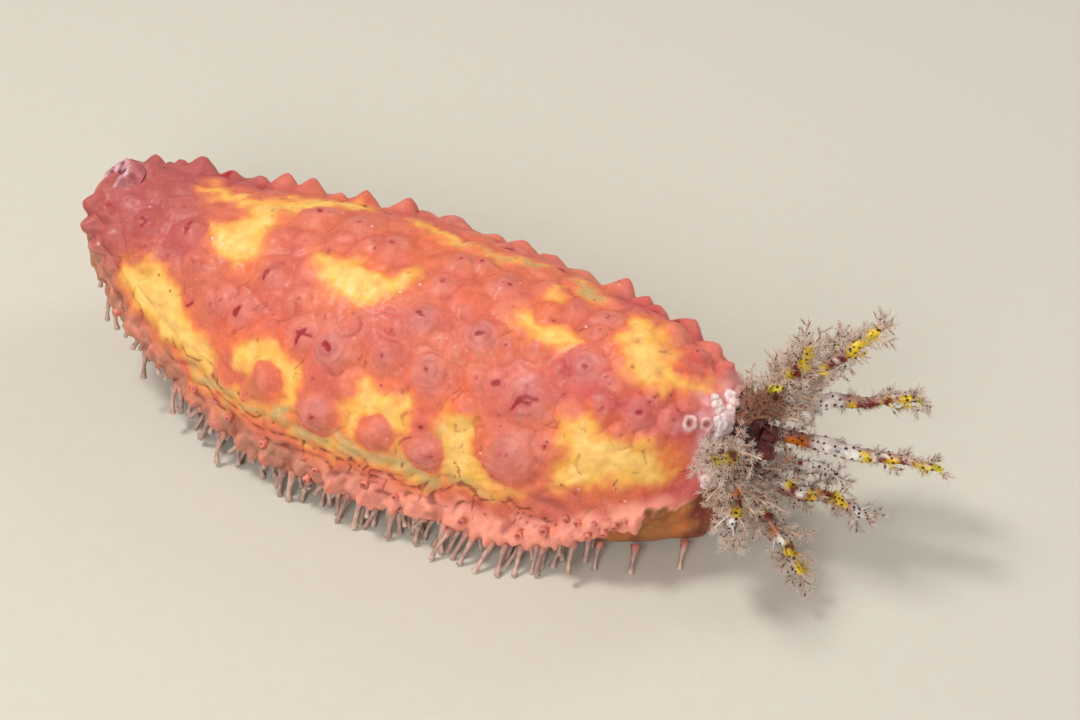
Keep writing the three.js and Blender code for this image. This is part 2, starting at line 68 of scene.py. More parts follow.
# Draws between -1 and 1 that repeat: the fraction of a large sine of number and purpose.
def vary(number, purpose):
    wave = np.sin(np.asarray(number) * 12.9898 + purpose * 78.233) * 43758.5453
    return 2 * (wave - np.floor(wave)) - 1


# A step with soft ends: 3t² - 2t³ of the share of the way from low to high.
def smooth(low, high, value):
    t = np.clip((value - low) / (high - low), 0, 1)
    return t * t * (3 - 2 * t)


# A cubic curve through (place, value) knots, with each knot's slope from its neighbours.
def through(knots, place):
    at, value = np.array(knots, float).T
    slope = np.gradient(value, at)
    slope[1:-1] = (value[2:] - value[:-2]) / (at[2:] - at[:-2])
    i = np.clip(np.searchsorted(at, place) - 1, 0, len(at) - 2)
    width = at[i + 1] - at[i]
    t = np.clip((place - at[i]) / width, 0, 1)
    level = value[i] * (2 * t**3 - 3 * t**2 + 1) + value[i + 1] * (3 * t**2 - 2 * t**3)
    return level + width * (slope[i] * (t**3 - 2 * t**2 + t) + slope[i + 1] * (t**3 - t**2))


# Straight lines through (place, value) knots.
def linear(knots, place):
    return np.interp(place, *np.array(knots, float).T)


# Soft random waves about size mm long: the sum of sines along random directions.
def waves(points, size, seed, count=14):
    draw = np.random.default_rng(seed)
    way = draw.normal(size=(count, points.shape[-1]))
    way /= np.linalg.norm(way, axis=1, keepdims=True) * size * draw.uniform(0.7, 1.5, (count, 1))
    return np.sin(points @ (way.T * 2 * np.pi) + draw.uniform(0, 6.28, count)).sum(-1) / math.sqrt(count / 2)


# Directions of length 1: each vector over its length.
def unit(vectors):
    return vectors / np.maximum(np.linalg.norm(vectors, axis=-1, keepdims=True), 1e-9)


# Two directions square to each of the given ones and to one another, from a helper direction.
def squareTo(ways, helper):
    across = unit(np.cross(ways, helper))
    return across, np.cross(ways, across)


# Screen red, green and blue of 0 to 255 as the linear colour that nodes and attributes take.
def paint(red, green, blue):
    share = np.array([red, green, blue]) / 255
    return np.where(share > 0.04045, ((share + 0.055) / 1.055) ** 2.4, share / 12.92)


# One colour over another: under + (over - under)·share.
def blend(under, over, share):
    return under + (over - under) * np.clip(share, 0, 1)[..., None]


# The camera's place, its three directions, and pixels to the unit of depth.
def photoCamera():
    turn, rise = math.radians(photoView["azimuth"]), math.radians(photoView["elevation"])
    back = np.array([math.sin(turn) * math.cos(rise), -math.cos(turn) * math.cos(rise), math.sin(rise)])
    right = unit(np.cross(-back, [0, 0, 1]))
    place = np.array(photoView["target"]) + photoView["distance"] * back
    scale = photoView["lens"] / photoView["sensor"] * photoView["size"][0]
    return place, right, np.cross(right, -back), -back, scale


# Points in mm to the photo's pixels: sideways and upward shares of the depth.
def toPixels(points):
    place, right, up, ahead, scale = photoCamera()
    away = points - place
    depth = away @ ahead
    return np.stack([photoView["size"][0] / 2 + scale * (away @ right) / depth,
                     photoView["size"][1] / 2 - scale * (away @ up) / depth], -1)


mmPerPixel = photoView["distance"] / photoCamera()[4]


# A mesh object from whole arrays: points in mm, four-sided and three-sided faces, a map
# with one place for each face corner, and attributes with one row for each point.
def makePiece(name, points, quads, triangles, quadMap, triangleMap, attributes):
    corners = np.concatenate([quads.ravel(), triangles.ravel()]).astype(np.int32)
    sides = np.repeat([4, 3], [len(quads), len(triangles)])
    mesh = bpy.data.meshes.new(name)
    mesh.vertices.add(len(points))
    mesh.vertices.foreach_set("co", (points * mm).astype(np.float32).ravel())
    mesh.loops.add(len(corners))
    mesh.loops.foreach_set("vertex_index", corners)
    mesh.polygons.add(len(sides))
    mesh.polygons.foreach_set("loop_start", (np.cumsum(sides) - sides).astype(np.int32))
    mesh.polygons.foreach_set("use_smooth", np.ones(len(sides), bool))
    mesh.update(calc_edges=True)
    mesh.validate()
    chart = mesh.uv_layers.new(name="OFBake")
    places = np.concatenate([quadMap.reshape(-1, 2), triangleMap.reshape(-1, 2)])
    chart.data.foreach_set("uv", places.astype(np.float32).ravel())
    for key, rows in attributes.items():
        layer = mesh.attributes.new(key, "FLOAT_COLOR", "POINT")
        full = np.ones((len(points), 4), np.float32)
        full[:, :rows.shape[1]] = rows
        layer.data.foreach_set("color", full.ravel())
    piece = bpy.data.objects.new(name, mesh)
    bpy.context.scene.collection.objects.link(piece)
    return piece


# Faces of a closed surface of n rows of m points, in turn, and a pole after them at each end:
# quads, the fans on the poles, and the maps of both.
def closedFaces(n, m):
    i, j = np.meshgrid(np.arange(n - 1), np.arange(m), indexing="ij")
    k = (j + 1) % m
    quads = np.stack([i * m + j, (i + 1) * m + j, (i + 1) * m + k, i * m + k], -1).reshape(-1, 4)
    u = np.stack([j, j, j + 1, j + 1], -1).reshape(-1, 4) / m
    v = (np.stack([i, i + 1, i + 1, i], -1).reshape(-1, 4) + 1) / (n + 1)
    j = np.arange(m)
    k = (j + 1) % m
    last = (n - 1) * m
    first = np.stack([np.full(m, n * m), j, k], -1)
    final = np.stack([np.full(m, n * m + 1), last + k, last + j], -1)
    firstU, finalU = np.stack([j + 0.5, j, j + 1], -1) / m, np.stack([j + 0.5, j + 1, j], -1) / m
    firstV, finalV = np.tile([0, 1, 1], (m, 1)) / (n + 1), np.tile([n + 1, n, n], (m, 1)) / (n + 1)
    fanMap = np.concatenate([np.stack([firstU, firstV], -1), np.stack([finalU, finalV], -1)])
    return quads, np.concatenate([first, final]), np.stack([u, v], -1), fanMap


# A grid's rows in turn, and then what belongs to its first and last pole.
def withPoles(grid, first, last):
    return np.concatenate([grid.reshape(-1, grid.shape[-1]), [first], [last]])


# Colours with a fourth number, which says how strongly the specks of a finish show there.
def withSpecks(tint, share=0.0):
    return np.concatenate([tint, np.full(tint.shape[:-1] + (1,), share)], -1)


# Faces of many equal tubes at once. Each has rings of points in turn, then the points that
# close its root and its tip. Returns quads, triangles and their maps, one square patch a tube.
def tubeFaces(tubes, rings, sides):
    size = rings * sides + 2
    start = (np.arange(tubes) * size)[:, None, None]
    i, j = np.meshgrid(np.arange(rings - 1), np.arange(sides), indexing="ij")
    k = (j + 1) % sides
    quads = np.stack([i * sides + j, i * sides + k, (i + 1) * sides + k, (i + 1) * sides + j], -1).reshape(1, -1, 4)
    j = np.arange(sides)
    k = (j + 1) % sides
    root = np.stack([np.full(sides, size - 2), k, j], -1)
    top = (rings - 1) * sides
    tip = np.stack([np.full(sides, size - 1), top + j, top + k], -1)
    caps = np.concatenate([root, tip])[None]
    # the map: round the tube across the patch and along it upwards
    across = int(math.ceil(math.sqrt(tubes)))
    cell = np.stack([np.arange(tubes) % across, np.arange(tubes) // across], -1)[:, None, None] / across
    a, b = np.meshgrid(np.arange(rings - 1), np.arange(sides), indexing="ij")
    u = np.stack([b, b + 1, b + 1, b], -1).reshape(-1, 4) / sides
    v = np.stack([a, a, a + 1, a + 1], -1).reshape(-1, 4) / (rings - 1)
    scale = 0.8 / across
    quadMap = cell + np.stack([u, 0.1 + 0.8 * v], -1)[None] * scale
    rootMap = np.stack([(j + 0.5) / sides, (j + 1) / sides, j / sides], -1)
    tipMap = np.stack([(j + 0.5) / sides, j / sides, (j + 1) / sides], -1)
    rootV = np.tile([0.0, 0.1, 0.1], (sides, 1))
    tipV = np.tile([1.0, 0.9, 0.9], (sides, 1))
    capMap = np.concatenate([np.stack([rootMap, rootV], -1), np.stack([tipMap, tipV], -1)])
    triangleMap = cell + capMap[None] * scale
    return (start + quads).reshape(-1, 4), (start + caps).reshape(-1, 3), quadMap, triangleMap


# Points of many tubes: circles of the given radii square to each path. paths is
# (tubes, rings, 3) and radii (tubes, rings). Directions across come from one fixed helper.
def tubePoints(paths, radii, sides, tipAhead=0.6):
    along = unit(np.gradient(paths, axis=1))
    helper = np.where(np.abs(along[:, :1, 2:]) > 0.85, [1.0, 0, 0], [0, 0, 1.0])
    across, side = squareTo(along, helper)
    turn = np.arange(sides) * 2 * np.pi / sides
    circle = across[:, :, None] * np.cos(turn)[:, None] + side[:, :, None] * np.sin(turn)[:, None]
    rings = paths[:, :, None] + circle * radii[:, :, None, None]
    root = paths[:, :1] - along[:, :1] * radii[:, :1, None] * 0.3
    tip = paths[:, -1:] + along[:, -1:] * radii[:, -1:, None] * tipAhead
    return np.concatenate([rings.reshape(len(paths), -1, 3), root, tip], 1)


# One piece from groups of tubes: each group is points (tubes, n, 3), colours, rings, sides.
def tubePiece(name, groups):
    points, colours, quads, triangles, quadMaps, triangleMaps = [], [], [], [], [], []
    start, lane = 0, 0.0
    for made, tint, rings, sides, width in groups:
        q, t, qm, tm = tubeFaces(len(made), rings, sides)
        points.append(made.reshape(-1, 3))
        colours.append(tint.reshape(-1, 4))
        quads.append(q + start)
        triangles.append(t + start)
        # each group has its own upright strip of the map
        quadMaps.append((qm * [width, 1] + [lane, 0]).reshape(-1, 2))
        triangleMaps.append((tm * [width, 1] + [lane, 0]).reshape(-1, 2))
        start += made.shape[0] * made.shape[1]
        lane += width
    return makePiece(name, np.concatenate(points), np.concatenate(quads), np.concatenate(triangles),
                     np.concatenate(quadMaps), np.concatenate(triangleMaps), {"tint": np.concatenate(colours)})


# The share of the full girth: 1 at the widest place, rounded off to 0 behind it, and ahead of
# it a power curve down to the share at the front.
def girth(share, front):
    peak = trunkForm["widest"]
    behind = np.sqrt(np.clip(1 - (np.clip(peak - share, 0, peak) / peak) ** trunkForm["rearRound"], 0, 1))
    ahead = 1 - (1 - front) * (np.clip(share - peak, 0, 1) / (1 - peak)) ** trunkForm["taper"]
    return np.where(share < peak, behind, ahead)


# Half width, dome height, margin height, flesh, lip depth and middle line at a share.
def section(share):
    f = trunkForm
    past = np.clip((share - f["rimShare"]) / (1 - f["rimShare"]), 0, 1)
    scale = 1 - f["rimTuck"] * (1 - np.sqrt(1 - past**2))
    plan = girth(share, f["frontWidth"])
    margin = through(f["margin"], share) + (1 - scale) * f["rimLift"]
    drop = f["lipDrop"] + (f["frontDrop"] - f["lipDrop"]) * smooth(0.7, 1, share)
    half = f["halfWidth"] * plan * scale * through(f["widthTrims"], share)
    dome = f["dome"] * girth(share, f["frontHeight"]) * scale * through(f["domeTrims"], share)
    return half, dome, margin, np.clip(plan * 2, 0, 1), drop, through(f["bends"], share)


# A point over the back: a rounded oval above the margin and a shallow lip below it.
def onTrunk(share, degrees):
    share, degrees = np.broadcast_arrays(np.asarray(share, float), np.asarray(degrees, float))
    half, dome, margin, flesh, drop, middle = section(share)
    power = 2 / trunkForm["square"]
    c, s = np.cos(np.radians(degrees)), np.sin(np.radians(degrees))
    across = np.sign(c) * np.abs(c) ** power
    up = np.abs(s) ** power
    rise = np.where(s > 0, dome * up, -drop * flesh * np.sqrt(up))
    swell = trunkForm["lipReach"] * flesh * np.exp(-(rise / trunkForm["lipHalf"]) ** 2)
    return np.stack([(share - 0.5) * trunkForm["length"], middle - (half + swell) * across, margin + rise], -1)


# The underside between the lips: the trunk's shallow pan, with the sole hung below it by a
# squarish oval that grows in over the first tenth and ends bluntly under the mouth.
def onUnderside(share, turn):
    f = trunkForm
    half, _, margin, flesh, drop, middle = section(share)
    bottom = through(f["sole"], share)
    ends = np.clip(np.minimum((share - f["soleFrom"]) / 0.1, (f["soleTo"] - share) / 0.035), 0, 1)
    full = np.sqrt(ends * (2 - ends))
    reach = np.maximum(half - through(f["insets"], share), 0.4 * half)
    c, s = np.cos(turn), np.sin(turn)
    across = np.sign(c) * np.abs(c) ** (2 / f["soleSquare"])
    down = np.abs(s) ** (2 / f["soleSquare"])
    y = reach * across
    share0 = np.clip(np.abs(y) / np.maximum(half, 1e-6), 0, 1) ** (f["square"] / 2)
    pan = margin - drop * flesh * np.sqrt(np.sqrt(1 - share0**2) ** (2 / f["square"]))
    depth = np.maximum(margin - drop * flesh - bottom, 0) * full
    return np.stack([(share - 0.5) * f["length"] + 0 * y, middle + y, pan - depth * down], -1), reach


skinGrid = {"along": 330, "over": 184, "lip": 12, "under": 62, "rim": 9, "inner": 4, "close": 3}


# The skin's rows of points: rows evenly spaced by their length over the ground, and round
# each row the back, the left lip, the underside and the right lip.
def skinRows():
    g, f = skinGrid, trunkForm
    fine = (1 - np.cos(np.linspace(0, np.pi, 4001))) / 2
    top, side = onTrunk(fine, 90), onTrunk(fine, 20)
    step = np.linalg.norm(np.diff(top, axis=0), axis=1) + np.linalg.norm(np.diff(side, axis=0), axis=1)
    run = np.concatenate([[0], np.cumsum(step)])
    share = np.interp(np.linspace(0, run[-1], g["along"]), run, fine)[:, None]
    over = np.linspace(0, 180, g["over"] + 1)[None]
    back = onTrunk(share, over)
    turn = np.pi * (1 - np.cos(np.linspace(0, np.pi, g["under"])[None])) / 2
    below, reach = onUnderside(share, turn)
    half = section(share)[0]
    corner = np.degrees(np.arccos(np.clip(reach / np.maximum(half, 1e-6), 0, 1) ** (f["square"] / 2)))
    slide = np.linspace(0, 1, g["lip"] + 2)[None, 1:-1]
    left = onTrunk(share, 180 + corner * slide)
    right = onTrunk(share, -corner * (1 - slide))
    rows = np.concatenate([back, left, below, right], 1)
    # the lips and the underside have only a label for an angle
    degrees = np.concatenate([over[0], np.repeat([181.0, 270.0, -1.0], [g["lip"], g["under"], g["lip"]])])
    return rows, share[:, 0], degrees


rows, shareOfRow, degreesOfColumn = skinRows()
trunkRows, columns = rows.shape[:2]

# the oral end: rows that roll over the rim to a circle and go in to close behind the collar
mouthCentre = np.array([trunkForm["length"] / 2, 0, trunkForm["mouthHeight"]])
lastRow = rows[-1]
circle = mouthCentre + unit((lastRow - mouthCentre) * [0, 1, 1]) * trunkForm["mouthRadius"]
q = np.linspace(0, 1, skinGrid["rim"] + 1)[1:, None, None]
rimRows = lastRow + (circle - lastRow) * q**1.4
rimRows[..., 0] += (0.9 + 1.6 * smooth(8, 4, lastRow[:, 2])) * np.sin(np.pi * q[..., 0]) ** 0.8
q = np.linspace(0, 1, skinGrid["inner"] + 1)[1:, None, None]
innerRows = circle - np.array([trunkForm["mouthDepth"], 0, 0]) * q
q = np.linspace(1, 0, skinGrid["close"] + 2)[1:-1, None, None]
deepCentre = mouthCentre - [trunkForm["mouthDepth"], 0, 0]
closeRows = deepCentre + (circle - mouthCentre) * q
base = np.concatenate([rows[1:], rimRows, innerRows, closeRows])
shareOfRow = np.concatenate([shareOfRow[1:], np.full(len(base) - trunkRows + 1, 1.0)])
rearPole, frontPole = rows[0, 0], deepCentre
rowsAll = len(base)


# Outward directions: the lengthwise difference crossed with the one round the row.
def outward(grid):
    along = np.gradient(grid, axis=0)
    around = (np.roll(grid, -1, 1) - np.roll(grid, 1, 1)) / 2
    return unit(np.cross(along, around))


normals = outward(base)
seen = (normals * (photoCamera()[0] - base)).sum(-1) > 0
seen &= (degreesOfColumn >= 0)[None] & (degreesOfColumn <= 180)[None]
basePixels = toPixels(base)
shareGrid = np.repeat(shareOfRow[:, None], columns, 1)
degreesGrid = np.repeat(degreesOfColumn[None], rowsAll, 0)
print("trunk laid out:", rowsAll, "rows of", columns)


# Where the camera sees the photo's pixels on the skin: places, shares, angles and normals.
def castOnSkin(pixels):
    inView = np.flatnonzero(seen)
    flat = basePixels.reshape(-1, 2)[inView]
    gap = ((flat[None] - np.asarray(pixels, float)[:, None]) ** 2).sum(-1)
    spots = inView[gap.argmin(1)]
    places, out = base.reshape(-1, 3)[spots], normals.reshape(-1, 3)[spots]
    return places, shareGrid.ravel()[spots], degreesGrid.ravel()[spots], out


# Shares and angles of the near flank's like on the far flank, a little further along.
def farSide(shares, angles, shift=0.03, spread=0.92):
    return np.clip(shares + shift, 0.03, 0.97), 180 - spread * angles


# pixels of the photo: x, y and radius of each dome, its height in mm, and how
# strong its rings, its grey-mauve tint and its dark pit are, and how pointed it is
domes = {
    "marked": [
        (330, 347, 26, 1.5, 1, 1, 1, 0), (385, 357, 22, 1.1, .7, .6, .5, 0), (304, 335, 20, 1, .3, .5, .6, 0),
        (271, 276, 21, 1.2, .4, .7, .8, 0), (240, 310, 19, 1, .3, .5, .8, 0),
        (147, 224, 19, 1.1, .3, .5, .6, 0), (190, 232, 19, 1, .2, .4, .8, .2),
        (320, 216, 21, 1, .2, .4, .7, .2), (360, 226, 21, .9, .1, .3, .6, .2),
        (394, 247, 20, .9, .1, .3, .7, .2), (315, 415, 24, 1.3, .8, .8, .4, 0),
        (422, 319, 23, 1.3, .9, 1, .8, 0), (480, 336, 23, 1.3, .8, 1, 1, 0), (431, 371, 24, 1.4, 1, 1, .5, 0),
        (425, 453, 22, 1.2, .8, .8, .4, 0), (374, 433, 20, 1.2, .4, .3, .1, 0),
        (525, 396, 31, 1.7, .8, 1, .3, 0), (584, 367, 24, 1.3, .7, .9, 1, 0),
        (608, 319, 19, 1.1, .4, .8, .8, 0), (611, 385, 16, .9, .4, .5, .4, 0),
        (603, 407, 17, .9, .3, .6, .5, 0), (640, 414, 19, 1, .5, .7, .8, 0), (658, 396, 15, .8, .3, .5, .6, 0),
        (508, 452, 33, 1.6, .7, .7, .6, 0), (544, 449, 17, .6, .4, .4, .8, 0),
        (497, 383, 14, .7, .2, .4, .8, 0), (508, 346, 15, .8, .2, .3, .6, 0), (478, 380, 14, .7, .2, .3, .6, 0),
        (536, 345, 16, .9, .4, .6, .2, 0), (460, 263, 19, 1, .3, .5, .8, .2),
        (482, 264, 14, .8, .2, .4, .8, .2), (443, 284, 16, .8, .2, .4, .7, .1),
        (503, 287, 20, 1, .4, .5, .8, .1), (225, 300, 16, .9, .2, .3, .6, 0),
        (375, 245, 15, .7, .1, .2, .3, .2), (213, 305, 15, .8, .2, .2, .7, 0),
        (268, 268, 13, .6, .1, .2, .3, 0), (300, 300, 16, .8, .2, .3, .5, 0), (267, 377, 19, .7, .4, .2, .1, 0),
        (240, 268, 14, .7, .1, .2, .4, 0), (293, 302, 14, .7, .2, .3, .5, 0), (327, 320, 14, .7, .3, .4, .5, 0),
        (150, 262, 15, .7, .1, .2, .4, 0), (195, 262, 16, .8, .1, .3, .5, 0),
        (108, 240, 13, .9, .1, .2, .3, .3), (105, 212, 12, .9, .1, .3, .3, .4),
        (575, 309, 15, .8, .2, .3, .5, .1), (552, 308, 14, .7, .2, .3, .4, .1),
        (650, 440, 16, .8, .4, .5, .6, 0), (672, 420, 17, .8, .5, .6, .7, 0), (690, 405, 14, .7, .3, .5, .5, 0),
        (622, 436, 14, .7, .3, .4, .5, 0), (345, 330, 12, .5, .3, .4, .4, 0), (397, 327, 13, .6, .3, .4, .4, 0),
        (455, 350, 13, .6, .3, .4, .3, 0), (462, 410, 14, .7, .2, .2, .2, 0), (440, 341, 12, .5, .2, .3, .3, 0),
        (560, 372, 14, .7, .3, .4, .3, 0), (660, 300, 14, 1, .2, .2, .3, .4), (675, 330, 16, 1, .2, .3, .4, .3),
        (700, 355, 14, .9, .2, .3, .3, .3), (345, 236, 13, .6, .1, .2, .6, .1),
        (410, 275, 13, .6, .1, .2, .4, .1), (600, 330, 13, .7, .3, .4, .8, 0), (230, 240, 6, .1, 0, 0, 0, 0),
        (640, 350, 10, .1, 0, 0, 0, 0), (590, 455, 14, .2, 0, 0, 0, 0), (630, 462, 14, .2, 0, 0, 0, 0),
        (175, 320, 14, .3, 0, 0, 0, 0), (152, 292, 14, .3, 0, 0, 0, 0), (350, 280, 13, .2, 0, 0, 0, 0),
        (380, 285, 12, .2, 0, 0, 0, 0),
    ],
    # the pointed ones that stand on the outline against the floor
    "pointed": [
        (202, 165, 17, 2.6, .1, .1, 0, 1), (181, 166, 12, 1.5, .1, .1, 0, 1), (233, 175, 13, 1.2, .1, .1, 0, 1),
        (287, 181, 15, 2.3, .1, .1, 0, 1), (312, 187, 16, 2.4, .1, .1, 0, 1), (262, 178, 12, 1.1, .1, .1, 0, 1),
        (366, 198, 13, 2.1, .1, .1, 0, 1), (408, 207, 15, 2.4, .1, .1, 0, 1), (340, 193, 11, 1.1, .1, .1, 0, 1),
        (432, 212, 11, .8, .1, .1, 0, 1), (462, 222, 13, .7, .1, .1, 0, .6), (498, 233, 12, .6, .1, .1, 0, .6),
        (524, 243, 14, 1.2, .1, .1, 0, 1), (556, 252, 14, .8, .1, .1, 0, .7), (590, 267, 13, .8, .1, .1, 0, .8),
        (628, 280, 15, 2.8, .1, .1, 0, 1), (650, 294, 13, 1.6, .1, .1, 0, 1), (688, 330, 14, 1.8, .1, .1, 0, 1),
        (712, 352, 12, 1.6, .1, .1, 0, 1), (728, 370, 11, 1.6, .1, .1, 0, 1), (95, 206, 12, 2, .1, .2, 0, 1),
        (106, 268, 11, 1.6, .1, .1, 0, 1), (93, 226, 12, 2.2, .1, .2, 0, 1), (98, 250, 12, 2, .1, .1, 0, 1),
        (150, 170, 12, 1.2, .1, .1, 0, 1),
    ],
    "relief": 0.74, "fillRadius": 2.3, "fillHeight": 0.16, "mirrorBelow": 50.0,
    "fillAngles": (14, 166, 14), "fillShares": (0.05, 0.965, 0.054),
}


# Rows of domes as arrays: place in mm, radius in mm and the six measures.
def placeDomes():
    listed = np.array(domes["marked"] + domes["pointed"], float)
    places, shares, angles = castOnSkin(listed[:, :2])[:3]
    measures = np.concatenate([listed[:, 2:3] * mmPerPixel, listed[:, 3:]], 1)
    measures[:, 0] *= 1 + 0.35 * measures[:, 5]
    measures[:, 1] *= domes["relief"] + (1 - domes["relief"]) * measures[:, 5]
    # the small blunt ones by the mouth are lower still
    measures[:, 1] *= 1 - 0.6 * smooth(0.7, 0.82, shares) * (measures[:, 5] < 0.3)
    # the far flank repeats the near one, shifted a little along
    low = angles < domes["mirrorBelow"]
    places = np.concatenate([places, onTrunk(*farSide(shares[low], angles[low], 0.018, 1))])
    measures = np.concatenate([measures, measures[low]])
    # gaps are filled from a staggered lattice, each point kept only if it stands clear
    for number, angle in enumerate(np.linspace(*domes["fillAngles"])):
        share = np.arange(*domes["fillShares"]) + (0.027 if number % 2 else 0)
        share = share + 0.008 * vary(np.arange(len(share)) + 40 * number, 1)
        candidates = onTrunk(share, angle + 3 * vary(np.arange(len(share)), number + 2))
        gap = np.linalg.norm(candidates[:, None] - places[None], axis=-1)
        gap = (gap / (1.1 * measures[None, :, 0] + 0.9)).min(1)
        fresh = candidates[gap > 1]
        count = len(fresh)
        far = smooth(136, 146, angle)
        made = np.zeros((count, 6))
        lot = np.arange(count) + 100 * number
        made[:, 0] = domes["fillRadius"] * (1 + 0.2 * vary(lot, 3))
        made[:, 1] = domes["fillHeight"] * (1 + 0.3 * vary(lot, 4)) + far * (0.25 + 0.4 * vary(lot, 8))
        made[:, 2] = 0.2 + 0.2 * vary(lot, 5)
        made[:, 4] = np.clip(0.3 + 0.5 * vary(lot, 7), 0, 1)
        made[:, 5] = 0.7 * far
        places = np.concatenate([places, fresh])
        measures = np.concatenate([measures, made])
    return places, measures


domePlaces, domeMeasures = placeDomes()
print("domes placed:", len(domePlaces))

# closed outlines of the photo's yellow and olive patches: x and y in pixels
outlines = {
    "gold": [
        [(208, 226), (216, 222), (236, 224), (248, 217), (254, 209), (242, 203), (224, 199), (206, 194),
         (202, 188), (216, 187), (236, 192), (252, 199), (270, 201), (300, 200), (336, 201), (372, 207),
         (370, 211), (336, 208), (304, 209), (286, 214), (272, 221), (266, 232), (262, 246), (252, 258),
         (238, 264), (226, 260), (218, 250), (213, 238)],
        [(121, 260), (128, 263), (140, 268), (158, 264), (170, 276), (178, 290), (182, 308), (190, 326),
         (204, 338), (214, 350), (216, 364), (210, 374), (200, 368), (188, 356), (172, 344), (160, 334),
         (152, 320), (142, 308), (132, 298), (124, 282)],
        [(236, 352), (246, 343), (262, 339), (274, 346), (284, 356), (294, 364), (298, 380), (296, 400),
         (290, 412), (276, 404), (282, 392), (281, 376), (272, 367), (258, 365), (246, 368), (236, 366)],
        [(315, 255), (326, 260), (345, 258), (362, 262), (373, 270), (386, 277), (396, 280), (408, 277),
         (420, 270), (418, 280), (408, 286), (398, 292), (385, 294), (375, 300), (355, 304), (345, 297),
         (332, 290), (324, 280), (320, 268)],
        [(415, 221), (430, 226), (446, 234), (462, 240), (470, 245), (462, 247), (446, 241), (430, 233)],
        [(344, 410), (350, 398), (357, 385), (367, 380), (377, 386), (381, 397), (392, 400), (400, 395),
         (412, 396), (412, 406), (404, 414), (404, 430), (399, 437), (390, 427), (380, 420), (366, 421),
         (357, 427), (351, 437), (343, 436)],
        [(446, 412), (458, 413), (470, 418), (474, 424), (474, 444), (478, 460), (484, 474), (494, 484),
         (500, 490), (484, 490), (468, 482), (454, 472), (444, 462), (441, 446), (442, 428)],
        [(562, 420), (570, 416), (586, 418), (596, 428), (608, 436), (624, 440), (640, 440), (652, 446),
         (660, 458), (676, 470), (672, 478), (656, 482), (640, 482), (628, 486), (620, 480), (608, 476),
         (600, 482), (590, 488), (574, 488), (558, 486), (552, 480), (560, 470), (564, 456), (561, 438)],
        [(628, 322), (636, 318), (648, 320), (656, 330), (668, 344), (670, 354), (666, 362), (676, 370),
         (690, 380), (702, 386), (714, 390), (704, 393), (688, 392), (672, 388), (656, 384), (640, 384),
         (632, 380), (628, 368), (624, 352), (622, 338)],
        [(516, 318), (528, 312), (534, 322), (548, 328), (562, 330), (574, 336), (584, 344), (566, 350),
         (556, 342), (544, 340), (532, 336), (522, 332)],
        [(545, 298), (552, 290), (562, 289), (560, 302)],
    ],
    "olive": [
        [(176, 330), (196, 334), (212, 346), (218, 362), (212, 376), (198, 368), (184, 354)],
        [(190, 366), (206, 368), (216, 378), (232, 386), (242, 398), (258, 408), (274, 402), (290, 400),
         (294, 414), (290, 424), (276, 424), (262, 418), (248, 412), (230, 402), (212, 394), (198, 384)],
        [(330, 432), (344, 438), (352, 444), (362, 450), (378, 453), (392, 452), (402, 446), (410, 458),
         (424, 468), (440, 474), (446, 482), (438, 488), (422, 484), (404, 476), (388, 468), (368, 462),
         (350, 458), (338, 450)],
        [(440, 424), (450, 418), (458, 440), (460, 462), (476, 480), (500, 490), (520, 493), (500, 498),
         (474, 492), (450, 480), (440, 462)],
        [(572, 282), (584, 284), (598, 292), (612, 304), (596, 302), (582, 294)],
        [(288, 420), (306, 424), (322, 432), (340, 446), (330, 452), (310, 442), (292, 432)],
        [(470, 246), (484, 250), (510, 258), (544, 264), (540, 268), (508, 262), (482, 255)],
    ],
}
